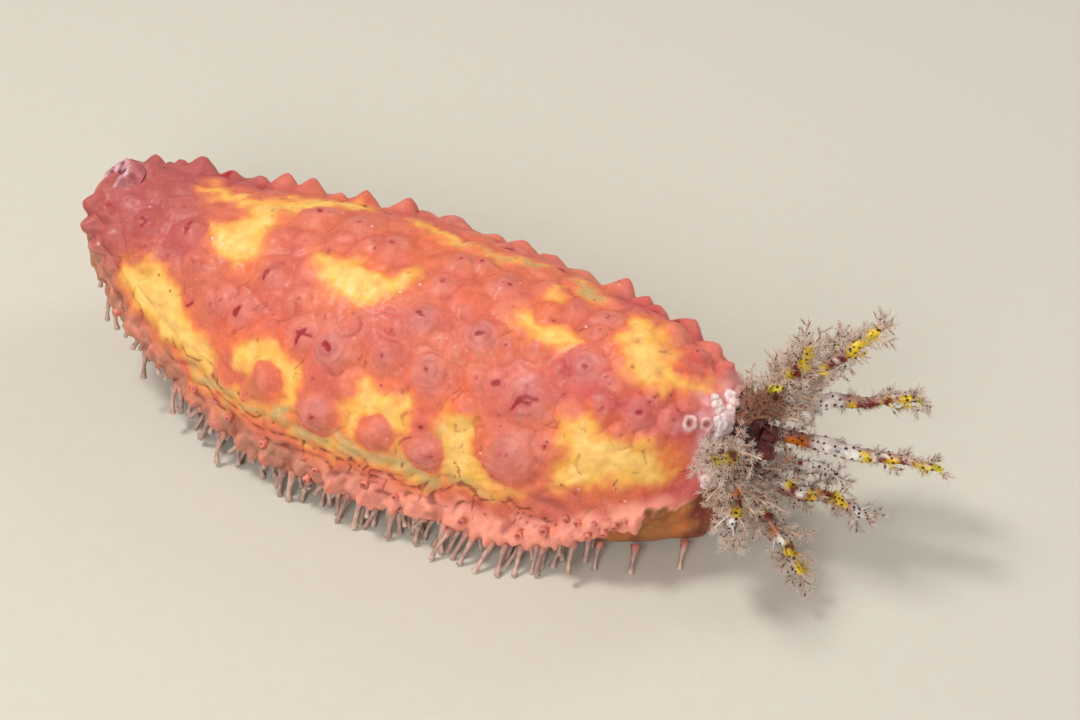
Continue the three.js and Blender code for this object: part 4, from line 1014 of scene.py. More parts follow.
# lengths in mm along each margin and the sole: places, profile of the radius and splay by share
feet = {
    "rows": 4, "perRow": 46, "from": 0.055, "to": 0.87, "rings": 7, "sides": 6, "longest": 4.0,
    "inset": 0.2, "rowGap": 0.95, "drawnIn": 0.42, "bow": 0.35, "clearance": 0.06, "soleRows": 3, "soleGap": 3.4,
    "profile": [(0, .68), (.35, .34), (.72, .24), (.88, .36), (1, .42)],
    "splays": [(0, 1.6), (.5, 2), (.7, 2.8), (.8, 2.8), (.9, 2.2)],
    "atHead": [0.885, 0.93, 0.985],
    "root": (206, 134, 116), "stalk": (200, 166, 152), "disc": (228, 200, 184),
}


# Feet under both margins and the sole: each leaves the lip, bows outwards and back towards
# the tail, and ends in a disc. The path is root + way·u + bow·u(1-u), the radius a stalk
# that narrows to its neck and opens again at the disc.
def tubeFeet():
    f = feet
    roots, tips = [], []
    for side in (-1, 1):
        for row in range(f["rows"]):
            number = np.arange(f["perRow"]) + 50 * row + (200 if side > 0 else 0)
            step = np.arange(f["perRow"]) + 0.5 + 0.33 * row + 0.3 * vary(number, 31)
            share = f["from"] + (f["to"] - f["from"]) * step / f["perRow"]
            half, _, margin, _, _, middle = section(share)
            inner = f["inset"] + f["rowGap"] * row + 0.35 * vary(number, 32)
            root = np.stack([(share - 0.5) * trunkForm["length"], middle + side * (half + 0.7 - inner),
                             margin - 0.9 - 0.25 * row], -1)
            # some are drawn in, more of them where the body stands off the floor
            drawn = (vary(number, 30) > 0.0) | ((vary(number, 43) > -0.3) & (share < 0.22))
            length = f["longest"] * (0.93 + 0.12 * vary(number, 33)) * np.where(drawn, f["drawnIn"], 1)
            tip = root.copy()
            tip[:, 0] += -0.4 + 1.3 * vary(number, 34)
            splay = through(f["splays"], share) - inner * 0.5 + 0.9 * vary(number, 35)
            tip[:, 1] += side * np.where(drawn, 0.8, splay)
            tip[:, 2] = np.maximum(root[:, 2] - length, f["clearance"])
            roots.append(root)
            tips.append(tip)
    # a few thin ones beside the belly, and others down the middle of the sole
    share = np.array(f["atHead"])
    half, middle = section(share)[0], section(share)[5]
    for side in (-1, 1):
        x, y = (share - 0.5) * trunkForm["length"], middle + side * (half - through(trunkForm["insets"], share))
        roots.append(np.stack([x, y - side * 0.4, 2.2 + 0 * share], -1))
        tips.append(np.stack([x + 0.5, y + side * 2.2, f["clearance"] + 0 * share], -1))
    number = np.arange(60)
    share = 0.1 + 0.74 * (number // f["soleRows"] + 0.5 + 0.3 * vary(number, 36)) / 20
    y = (number % f["soleRows"] - 1) * f["soleGap"] * section(share)[0] / trunkForm["halfWidth"]
    y = y + 0.8 * vary(number, 37)
    root = np.stack([(share - 0.5) * trunkForm["length"], y, through(trunkForm["sole"], share) + 0.3], -1)
    roots.append(root)
    foot = np.maximum(root[:, 2] - f["longest"], f["clearance"])
    tips.append(np.stack([root[:, 0] + 0.3 * vary(number, 38), y, foot], -1))
    roots, tips = np.concatenate(roots), np.concatenate(tips)
    lot = np.arange(len(roots))
    u = np.linspace(0, 1, f["rings"])[None, :, None]
    reach = np.linalg.norm(tips - roots, axis=1)[:, None, None]
    outwards = np.sign(roots[:, 1]) * (0.9 + 0.3 * vary(lot, 40))
    bow = unit(np.stack([0.5 * vary(lot, 39), outwards, 0.4 + 0 * lot], -1))
    paths = roots[:, None] + (tips - roots)[:, None] * u + bow[:, None] * reach * f["bow"] * u * (1 - u)
    radii = linear(f["profile"], u[0, :, 0])[None] * (1 + 0.14 * vary(lot, 41))[:, None]
    points = tubePoints(paths, radii, f["sides"], -0.15)
    points[..., 2] = np.maximum(points[..., 2], 0.0)
    along = np.repeat(u[0, :, 0], f["sides"])
    along = np.concatenate([along, [0, 1]])[None, :, None]
    root, stalk, disc = paint(*f["root"]), paint(*f["stalk"]), paint(*f["disc"])
    tone = (1 + 0.16 * vary(lot, 42))[:, None, None]
    tint = root + (stalk - root) * smooth(0.02, 0.4, along)
    tint = tint + (disc - tint) * smooth(0.78, 0.95, along)
    return tubePiece("tube_feet", [(points, withSpecks(tint * tone), f["rings"], f["sides"], 1.0)])


footPiece = tubeFeet()
footPiece.data.materials.append(fleshMaterial("footFlesh", rgba(120, 30, 40), 900.0, 0.1, weight=0.5))
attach(footPiece, "root")
print("tube feet made:", len(footPiece.data.polygons), "faces")


# the cups of drawn-in feet: x and y of the clearest ones in the photo's pixels, how many more
# there are on each side, the height and width of a cup's rings in its radii, and how much painted
# shade darkens each ring towards the cup's hollow end
cups = {
    "marked": [
        (579, 523), (596, 522), (613, 525), (568, 517), (628, 518), (604, 533), (588, 534), (545, 530),
        (520, 533), (462, 520), (395, 496), (366, 482), (318, 470),
    ],
    "perSide": 14, "from": 0.1, "to": 0.62, "radius": 0.5, "sides": 8, "tint": (232, 140, 120),
    # the second colour is painted shade inside the cup's hollow end
    "hollow": (196, 92, 80),
    "rings": [(-.5, 1, 0), (.1, .95, 0), (.55, .9, 0), (.95, 1, 0), (1.1, .78, .15), (.95, .45, .8), (.7, .25, 1)],
}


# Each cup is a short bulging tube with a rolled rim and a hollow end, standing out of the lip.
def marginCups():
    c = cups
    number = np.arange(2 * c["perSide"])
    side = np.where(number % 2, 1.0, -1.0)
    share = c["from"] + (c["to"] - c["from"]) * (number // 2 + 0.5 + 0.35 * vary(number, 51)) / c["perSide"]
    angle = np.where(number % 4 < 2, 2.5, -14.0) + 2.5 * vary(number, 52)
    angle = np.where(side < 0, angle, 180 - angle)
    markedShare, markedAngle = castOnSkin(c["marked"])[1:3]
    share = np.concatenate([share, markedShare])
    angle = np.concatenate([angle, markedAngle])
    number = np.arange(len(share))
    place = onTrunk(share, angle)
    step = onTrunk(np.minimum(share + 0.004, 0.999), angle) - onTrunk(share - 0.004, angle)
    turn = onTrunk(share, angle + 1) - onTrunk(share, angle - 1)
    out = unit(unit(np.cross(step, turn)) + [0, 0, -0.25])
    size = c["radius"] * (1 + 0.25 * vary(number, 53))
    high, wide, hollow = np.array(c["rings"], float).T
    paths = place[:, None] + out[:, None] * (high[None] * size[:, None] * 1.25)[..., None]
    across, other = squareTo(out, [0.2, 0.1, 1.0])
    turns = np.arange(c["sides"]) * 2 * np.pi / c["sides"]
    circle = across[:, None] * np.cos(turns)[None, :, None] + other[:, None] * np.sin(turns)[None, :, None]
    rings = paths[:, :, None] + circle[:, None] * (wide[None] * size[:, None])[..., None, None]
    points = np.concatenate([rings.reshape(len(place), -1, 3), paths[:, :1], paths[:, -1:]], 1)
    # painted shade: each ring darkens towards the cup's hollow end
    hollow = np.concatenate([np.repeat(hollow, c["sides"]), [0, 1]])[None]
    tint = blend(paint(*c["tint"]), paint(*c["hollow"]), hollow) * (1 + 0.12 * vary(number, 54))[:, None, None]
    return tubePiece("margin_cups", [(points, withSpecks(tint), len(high), c["sides"], 1.0)])


cupPiece = marginCups()
cupPiece.data.materials.append(fleshMaterial("cupFlesh", rgba(150, 30, 50), 900.0, 0.1, weight=0.4))
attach(cupPiece, "root")
print("margin cups made")


# the anal cone's ring: its place, form and the width and height of its profile in those of the form
rosette = {
    "share": 0.03, "axis": (-0.5, -0.3, 0.82), "radius": 2.3, "length": 0.42, "sunk": 0.35, "lobes": 5,
    "columns": 80, "rows": 34,
    "wide": [(0, 1.6), (.3, 1.24), (.55, 1.08), (.68, .92), (.78, .66), (.9, .4), (1, .14)],
    "high": [(0, -3.6), (.3, .15), (.55, .75), (.68, 1), (.78, .95), (.9, .55), (1, .1)],
    # the pit colour is painted shade in the lobes' pits and down the hollow
    "pale": (230, 180, 186), "mauve": (206, 128, 138), "pit": (128, 54, 74), "skin": (188, 100, 98),
}


# A standing ring: the profile rises from the skin, rolls over a rim and falls into a hollow.
# Lobes swell the rim with the cosine of five times the turn, and each has its own pit.
def analRosette():
    r = rosette
    axis = unit(np.array(r["axis"]))
    place = onTrunk(r["share"], 90) - axis * r["sunk"]
    side, other = squareTo(axis, [0, 0, -1.0])
    v = np.linspace(0, 1, r["rows"])[:, None]
    turn = np.linspace(0, 2 * np.pi, r["columns"], endpoint=False)[None]
    wide, high = linear(r["wide"], v), linear(r["high"], v)
    lobe = np.cos(r["lobes"] * turn + 0.5 * np.sin(turn + 1))
    rim = smooth(0.35, 0.68, v) * smooth(1.0, 0.8, v)
    wide = wide * (1 + 0.17 * lobe * rim) + 0.03 * np.sin(11 * turn + 9 * v) * rim
    high = high + 0.1 * lobe * rim + 0.06 * np.sin(14 * turn - 7 * v)
    grid = place + side * (r["radius"] * wide * np.cos(turn))[..., None]
    grid = grid + other * (r["radius"] * wide * np.sin(turn))[..., None] + axis * (r["length"] * high)[..., None]
    # a pit in every lobe, just inside the rim
    pitTurn = np.pi * 2 * np.arange(r["lobes"]) / r["lobes"]
    pits = np.cos(pitTurn)[:, None] * side + np.sin(pitTurn)[:, None] * other
    pits = place + r["radius"] * 0.72 * pits + axis * r["length"] * 1.12
    gap = np.linalg.norm(grid[:, :, None] - pits, axis=-1).min(-1)
    grid = grid - axis * (0.4 * np.exp(-(gap / 0.45) ** 2))[..., None]
    grid = grid + 0.07 * waves(grid, 1.1, 61)[..., None] * axis
    rimShare = smooth(0.3, 0.6, v + 0.1 * lobe + 0.05 * waves(grid, 1.6, 63))
    tint = blend(paint(*r["skin"]), paint(*r["pale"]), rimShare)
    tint = blend(tint, paint(*r["mauve"]), 0.55 * (0.5 + 0.5 * waves(grid, 1.3, 62)))
    # painted shade: dark in each lobe's pit and down inside the hollow
    tint = blend(tint, paint(*r["pit"]), smooth(0.75, 0.25, gap))
    tint = withSpecks(blend(tint, paint(*r["pit"]), smooth(0.8, 0.95, v) + 0 * turn))
    points = withPoles(grid, place - axis * r["length"] * 3.8, place - axis * 0.1)
    return makePiece("anal_rosette", points, *closedFaces(r["rows"], r["columns"]),
                     {"tint": withPoles(tint, tint[0, 0], tint[-1, 0])})


rosettePiece = analRosette()
rosettePiece.data.materials.append(fleshMaterial("rosetteFlesh", rgba(96, 24, 50), 700.0, 0.25, weight=0.4))
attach(rosettePiece, "root")
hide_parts("anal_cone")
print("anal rosette made")


# the bulbs of each oral valve: x, y and radius in the photo's pixels and how deep its cup is;
# the last two valves, which the photo hides, have an angle, a way back from the rim in mm,
# a radius in pixels and a cup instead
valves = {
    "bulbs": [
        [(707, 479, 5, .3), (713, 474, 4.5, .2), (703, 485, 3.5, .1), (717, 468, 3.5, .1)],
        [(720, 424, 8, .25), (731, 420, 7, .2), (735, 431, 7.5, .35), (727, 440, 7, .3), (719, 435, 6, .15),
         (707, 424, 6, .7), (690, 423, 6.5, .75), (714, 446, 4, .1), (711, 414, 4, .1), (735, 441, 4, .1)],
        [(714, 398, 4, 0), (717, 404, 5, 0), (720, 411, 5.5, 0), (724, 417, 5, 0), (729, 396, 6, .1),
         (735, 402, 5, .15), (740, 408, 4, .1), (731, 410, 4.5, .1)],
    ],
    "hidden": {4: [(150, .2, 7, .5), (160, .8, 6, .4), (141, 1.0, 5, .7), (151, 2.4, 4, .6)],
               5: [(270, .2, 6, .3), (280, .6, 5, .2), (259, .6, 5, .3)]},
    "rows": 14, "columns": 16, "white": (255, 226, 220), "pink": (244, 170, 168), "core": (206, 92, 104),
}


# A bulb is a ball whose outer end is drawn in to a cup: the radius is 1 round it, and the
# pole is lowered by a bell curve of the polar angle.
def oralValve(number):
    v = valves
    if number <= len(v["bulbs"]):
        x, y, size, cup = np.array(v["bulbs"][number - 1], float).T
        place, share, degrees, out = castOnSkin(np.stack([x, y], -1))
        out = unit(out + 0.35 * unit(photoCamera()[0] - place))
    else:
        degrees, back, size, cup = np.array(v["hidden"][number], float).T
        share = 1 - back / trunkForm["length"]
        place = onTrunk(share, degrees)
        around = onTrunk(share, degrees + 1) - onTrunk(share, degrees - 1)
        out = unit(unit(np.cross(place - onTrunk(share - 0.02, degrees), around)) + [0.5, 0, 0])
    size = size * mmPerPixel * 1.25
    centre = place - out * (size * 0.2)[:, None]
    polar = np.linspace(np.pi - 0.06, 0.06, v["rows"])[None, :, None]
    spin = (np.arange(v["columns"]) * 2 * np.pi / v["columns"])[None, None]
    across, other = squareTo(out, [0.1, 0.3, 1.0])
    dent = cup[:, None, None] * 1.1 * np.exp(-(polar / 0.55) ** 2)
    outPart = np.cos(polar) - dent + 0 * spin
    sidePart = np.sin(polar) * (1 + 0.06 * np.sin(5 * spin + 2 * number + cup[:, None, None] * 20))
    grid = centre[:, None, None] + size[:, None, None, None] * (
        out[:, None, None] * outPart[..., None]
        + across[:, None, None] * (sidePart * np.cos(spin))[..., None]
        + other[:, None, None] * (sidePart * np.sin(spin))[..., None])
    grid = grid + 0.06 * waves(grid, 0.9, 71)[..., None] * out[:, None, None]
    inner, outer = centre - out * size[:, None], centre + out * (size * (1 - cup * 1.1))[:, None]
    points = np.concatenate([grid.reshape(len(size), -1, 3), inner[:, None], outer[:, None]], 1)
    level = np.concatenate([np.repeat(polar[0, :, 0], v["columns"]), [np.pi, 0]])[None] + 0 * points[..., 0]
    pinkShare = 0.85 * smooth(0.9, 2.0, level) + 0.5 * smooth(0.5, 0.7, cup)[:, None]
    tint = blend(paint(*v["white"]), paint(*v["pink"]), pinkShare)
    tint = blend(tint, paint(*v["core"]), smooth(0.55, 0.15, level) * np.clip(cup * 1.2, 0, 0.9)[:, None])
    return tubePiece("valve_%d" % number, [(points, withSpecks(tint), v["rows"], v["columns"], 1.0)])


valveFlesh = fleshMaterial("valveFlesh", rgba(220, 120, 130), 800.0, 0.2, weight=0.5, roughness=0.3)
for number in range(1, 6):
    valvePiece = oralValve(number)
    valvePiece.data.materials.append(valveFlesh)
    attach(valvePiece, "root")
    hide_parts("oral_valve_%d" % number)
print("oral valves made")


# the folded body behind the arms, in mm, with its radius by share of its length
collar = {
    "radius": 4.8, "length": 4.3, "recess": 2.2, "folds": 13, "rows": 40, "columns": 176,
    "profile": [(0, .97), (.35, 1), (.72, .93), (.9, .8), (1, .42)],
    # its dark reds are painted shade: the collar sits in the shade between the arms' roots
    "dark": (50, 9, 14), "red": (88, 19, 26), "pale": (140, 62, 62),
}


# A body turned about the line ahead of the mouth: radius and distance ahead by rows, with
# folds that are cosines of the turn.
def turned(name, ahead, radii, folds, depth, tintOf, node):
    n, m = len(ahead), collar["columns"]
    turn = np.linspace(0, 2 * np.pi, m, endpoint=False)[None]
    wave = np.cos(folds * turn + 1.3 * np.sin(3 * turn)) + 0.4 * np.cos(2.0 * folds * turn + 2)
    wide = radii[:, None] * (1 + depth[:, None] * wave)
    grid = mouthCentre + np.stack([ahead[:, None] + 0 * turn, wide * np.cos(turn), wide * np.sin(turn)], -1)
    tint = withSpecks(tintOf(grid, wave, np.linspace(0, 1, n)[:, None] + 0 * turn))
    points = withPoles(grid, mouthCentre + [ahead[0], 0, 0], mouthCentre + [ahead[-1], 0, 0])
    piece = makePiece(name, points, *closedFaces(n, m), {"tint": withPoles(tint, tint[0, 0], tint[-1, -1])})
    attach(piece, "root")
    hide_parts(node)
    return piece


# Dark red as painted shade, redder on the folds by their wave, and paler in soft patches towards the front.
def collarTintAndShade(grid, wave, along):
    tint = blend(paint(*collar["dark"]), paint(*collar["red"]), 0.4 + 0.25 * wave)
    return blend(tint, paint(*collar["pale"]), 0.4 * smooth(0.7, 0.95, along) * (0.5 + 0.5 * waves(grid, 1.4, 81)))


along = np.linspace(0, 1, collar["rows"])
collarAhead = -collar["recess"] + (collar["length"] + collar["recess"]) * along
collarRadius = collar["radius"] * linear(collar["profile"], along)
collarFlesh = fleshMaterial("collarFlesh", rgba(40, 6, 10), 700.0, 0.25, weight=0.25, roughness=0.48)
collarPiece = turned("collar", collarAhead, collarRadius, collar["folds"], 0.03 * smooth(0, 0.3, along),
                     collarTintAndShade, "introvert")
collarPiece.data.materials.append(collarFlesh)

# the lobed disc inside the arms, in mm, with its rise and width by share of the way inwards
mouthForm = {
    "radius": 2.1, "ahead": 4.6, "bulge": 1.2, "rows": 26, "lobes": 10,
    "rise": [(0, -.1), (.3, .7), (.55, 1), (.7, .9), (.85, .4), (1, 0)],
    "wide": [(0, 1), (.3, .95), (.55, .7), (.7, .45), (.85, .25), (1, .12)],
    # the last colour is painted shade deep in the recess
    "dark": (84, 18, 24), "pale": (124, 46, 46), "recessShade": (50, 8, 12),
}
along = np.linspace(0, 1, mouthForm["rows"])
mouthAhead = mouthForm["ahead"] + mouthForm["bulge"] * linear(mouthForm["rise"], along)
mouthRadius = mouthForm["radius"] * linear(mouthForm["wide"], along)


# Red brown, paler on the lobes by their wave, and darkened with painted shade inwards from two thirds of the way.
def mouthTintAndShade(grid, wave, along):
    tint = blend(paint(*mouthForm["dark"]), paint(*mouthForm["pale"]), 0.5 + 0.4 * wave)
    return blend(tint, paint(*mouthForm["recessShade"]), smooth(0.6, 0.85, along))


mouthPiece = turned("mouth_disc", mouthAhead, mouthRadius, mouthForm["lobes"], 0.09 * np.sin(np.pi * along),
                    mouthTintAndShade, "mouth")
mouthPiece.data.materials.append(collarFlesh)
print("collar and mouth made")


# Ten branched arms round the mouth. Each row has its place round the mouth in degrees, its tip
# from the mouth's centre, its bow, its bushiness, and the photo's blotches of colour on it as
# x, y and radius in pixels.
crown = {
    "arms": [
        (28, (2.8, -13.4, 8.4), 1.2, 0.94, {
            "gold": [(730, 458, 6), (717, 461, 4), (746, 467, 3)], "wine": [(741, 472, 4), (722, 452, 2)],
            "orange": [(736, 470, 4)]}),
        (64, (8.4, 0, 15.9), 0.4, 1.15, {
            "brown": [(752, 410, 20), (776, 416, 16)], "gold": [(809, 353, 5), (806, 366, 6), (790, 374, 4)],
            "wine": [(798, 374, 4), (791, 364, 3)], "lime": [(766, 385, 5)], "dark": [(776, 396, 3)]}),
        (100, (14.5, 8, 15.4), 0.5, 1.0, {
            "gold": [(874, 335, 6), (863, 351, 8), (854, 361, 5), (831, 382, 4)],
            "wine": [(846, 366, 4), (838, 378, 3)], "white": [(848, 374, 5)], "brown": [(786, 412, 12)]}),
        (136, (9.2, 11, 8.2), 1.2, 1.15, {
            "lime": [(839, 351, 5)], "brown": [(770, 402, 16), (796, 396, 10)], "wine": [(812, 380, 3)],
            "dark": [(790, 410, 3)]}),
        (172, (19.2, 12, 2.8), 2.0, 0.8, {
            "gold": [(905, 409, 6), (890, 414, 5), (852, 421, 4)],
            "wine": [(889, 419, 3), (872, 411, 5), (862, 416, 4)], "orange": [(804, 435, 4), (875, 409, 3)],
            "white": [(832, 428, 13)], "brown": [(776, 424, 16)], "lime": [(918, 408, 4)], "bare": [(.3, .62)]}),
        (208, (24.2, 5, 0), -1.3, 0.8, {
            "gold": [(918, 478, 6), (889, 477, 5), (866, 467, 5)], "lime": [(936, 471, 6)],
            "wine": [(878, 470, 3), (900, 479, 3)], "orange": [(800, 456, 6), (786, 452, 4), (912, 479, 3)],
            "white": [(880, 475, 7), (822, 464, 13), (845, 470, 12)], "bare": [(.25, .68)]}),
        (244, (12, 8, -9.5), 1.0, 0.8, {
            "white": [(806, 461, 8), (822, 467, 9), (838, 474, 8)], "orange": [(790, 455, 4)],
            "wine": [(800, 458, 2)], "bare": [(.15, .75)]}),
        (280, (18, 2, -7.9), 1.0, 0.85, {
            "gold": [(794, 478, 5), (812, 496, 5), (834, 496, 7), (841, 501, 5)],
            "white": [(783, 483, 4), (802, 486, 6), (862, 509, 9)], "orange": [(821, 490, 4), (845, 506, 3)],
            "wine": [(792, 490, 4), (829, 488, 4), (806, 495, 2)]}),
        (316, (13.2, -7.6, -10.7), 1.2, 1.0, {
            "gold": [(776, 506, 4), (792, 549, 7), (801, 567, 6)], "orange": [(776, 491, 5), (774, 531, 4)],
            "wine": [(772, 512, 4), (799, 543, 3), (778, 489, 3)], "white": [(766, 551, 7), (790, 573, 6)]}),
        (352, (5.2, -11, -4.4), 2.0, 0.98, {
            "gold": [(741, 512, 6)], "orange": [(739, 494, 4)], "wine": [(752, 504, 3), (744, 500, 2)],
            "white": [(724, 525, 9), (742, 529, 7)]}),
    ],
    "ring": 4.0, "seat": 2.2, "ahead": 1.6, "stemRadius": [(0, .86), (.55, .68), (1, .3)],
    "stemRings": 40, "goldenTurn": 2.4, "floorGap": 0.05,
    "limbs": 27, "limbLength": 4.3, "limbFrom": 0.02, "limbRadius": 0.24,
    "sprigs": 10, "sprigLength": 1.5, "sprigRadius": 0.085, "spotted": 0.2, "beads": 120, "beadRadius": 0.12,
    "dots": 90, "dotRadius": 0.17, "clear": (721, 427, 17),
    "hairs": 11, "hairLength": 0.66, "hairRadius": 0.038,
    "grey": (222, 184, 162), "base": (142, 66, 54), "hair": (240, 204, 176), "hairTip": (255, 240, 224),
    "brown": (168, 114, 88), "white": (252, 240, 228), "gold": (255, 214, 10), "lime": (226, 214, 44),
    "orange": (226, 122, 20), "wine": (132, 12, 16), "dark": (78, 22, 18),
}


# Points along many paths at chosen shares, and the way they run there.
def alongPaths(paths, owner, share):
    steps = paths.shape[1] - 1
    place = np.clip(share * steps, 0, steps - 1e-6)
    low = place.astype(int)
    part = (place - low)[:, None]
    a, b = paths[owner, low], paths[owner, low + 1]
    return a + (b - a) * part, unit(b - a)


# Branches off a set of paths: root + length (start·u + 0.3·way·u²), with start at a lean to
# the parent's way and turned round it by the spin.
def branchOff(paths, owner, share, spin, lean, length, rings):
    root, way = alongPaths(paths, owner, share)
    across, other = squareTo(way, np.where(np.abs(way[:, 2:]) > 0.9, [1.0, 0, 0], [0, 0, 1.0]))
    side = across * np.cos(spin)[:, None] + other * np.sin(spin)[:, None]
    u = np.linspace(0, 1, rings)[None, :, None]
    start = side * np.sin(lean)[:, None] + way * np.cos(lean)[:, None]
    return root[:, None] + length[:, None, None] * (start[:, None] * u + way[:, None] * 0.3 * u * u)


# Branches all along every parent, each a golden angle on from the one before.
def sprout(parents, each, length, lean, rings, low, draw):
    owner = np.repeat(np.arange(len(parents)), each)
    step = np.tile(np.arange(each), len(parents))
    share = np.clip(low + (1 - low) * (step + 0.5 + draw.uniform(-0.35, 0.35, len(owner))) / each, 0, 0.995)
    spin = crown["goldenTurn"] * step + draw.uniform(0, 6.28, len(parents))[owner]
    size = length * (1 - 0.45 * share) * draw.uniform(0.6, 1.3, len(owner))
    return branchOff(parents, owner, share, spin, draw.uniform(*lean, len(owner)), size, rings), owner


# Each blotch of an arm as its kind, its place drawn to within four pixels of the stem, and size.
def seatedBlotches(blotches, line):
    stem, found = toPixels(line), []
    for key in ("brown", "white", "lime", "orange", "gold", "wine", "dark"):
        for x, y, size in blotches.get(key, []):
            nearest = stem[np.linalg.norm(stem - [x, y], axis=1).argmin()]
            off = np.array([x, y]) - nearest
            found.append((key, nearest + off * min(1.0, 4.0 / max(np.linalg.norm(off), 1e-6)), size))
    return found


# Which twigs to leave out: those before a bright blotch of the stem, and before the valves.
def inTheWay(twigs, blotches, line, draw):
    middle = twigs[:, twigs.shape[1] // 2]
    pixels, away = toPixels(middle), (middle - photoCamera()[0]) @ photoCamera()[3]
    stem, depth = toPixels(line), (line - photoCamera()[0]) @ photoCamera()[3]
    before = away < depth[np.linalg.norm(pixels[:, None] - stem, axis=-1).argmin(1)] + 0.2
    hide = np.zeros(len(twigs), bool)
    for key, spot, size in seatedBlotches(blotches, line):
        if key != "brown" and key != "dark":
            hide |= before & (np.linalg.norm(pixels - spot, axis=1) < 1.2 * size + 1)
    hide &= draw.random(len(twigs)) < 0.75
    x, y, size = crown["clear"]
    return hide | (np.linalg.norm(pixels - [x, y], axis=1) < size)


# The photo's blotches on points of an arm: each pulls the colour to its own within its
# radius, give or take soft waves.
def blotched(points, tint, blotches, line, strength=1.0):
    pixels = toPixels(points)
    ragged = 1.5 * waves(points, 0.9, 95)
    for key, spot, size in seatedBlotches(blotches, line):
        gap = np.linalg.norm(pixels - spot, axis=-1) + ragged
        share = strength * (0.5 if key == "white" and strength < 1 else 1)
        tint = blend(tint, paint(*crown[key]), share * smooth(1.5 * size, 0.9 * size, gap))
    return tint


# Dark beads: short tubes along the way at each place, swelling to their size in the middle.
def beads(place, way, size, draw):
    reach = np.linspace(-1, 1, 5)
    paths = place[:, None] + way[:, None] * (reach[None, :] * size[:, None])[..., None]
    points = tubePoints(paths, size[:, None] * np.sqrt(1.05 - reach**2)[None], 6, 0.1)
    tint = np.broadcast_to(paint(*crown["dark"]), points.shape) * (1 + 0.6 * draw.random((len(points), 1, 1)))
    return points, withSpecks(tint), 5, 6, 0.03


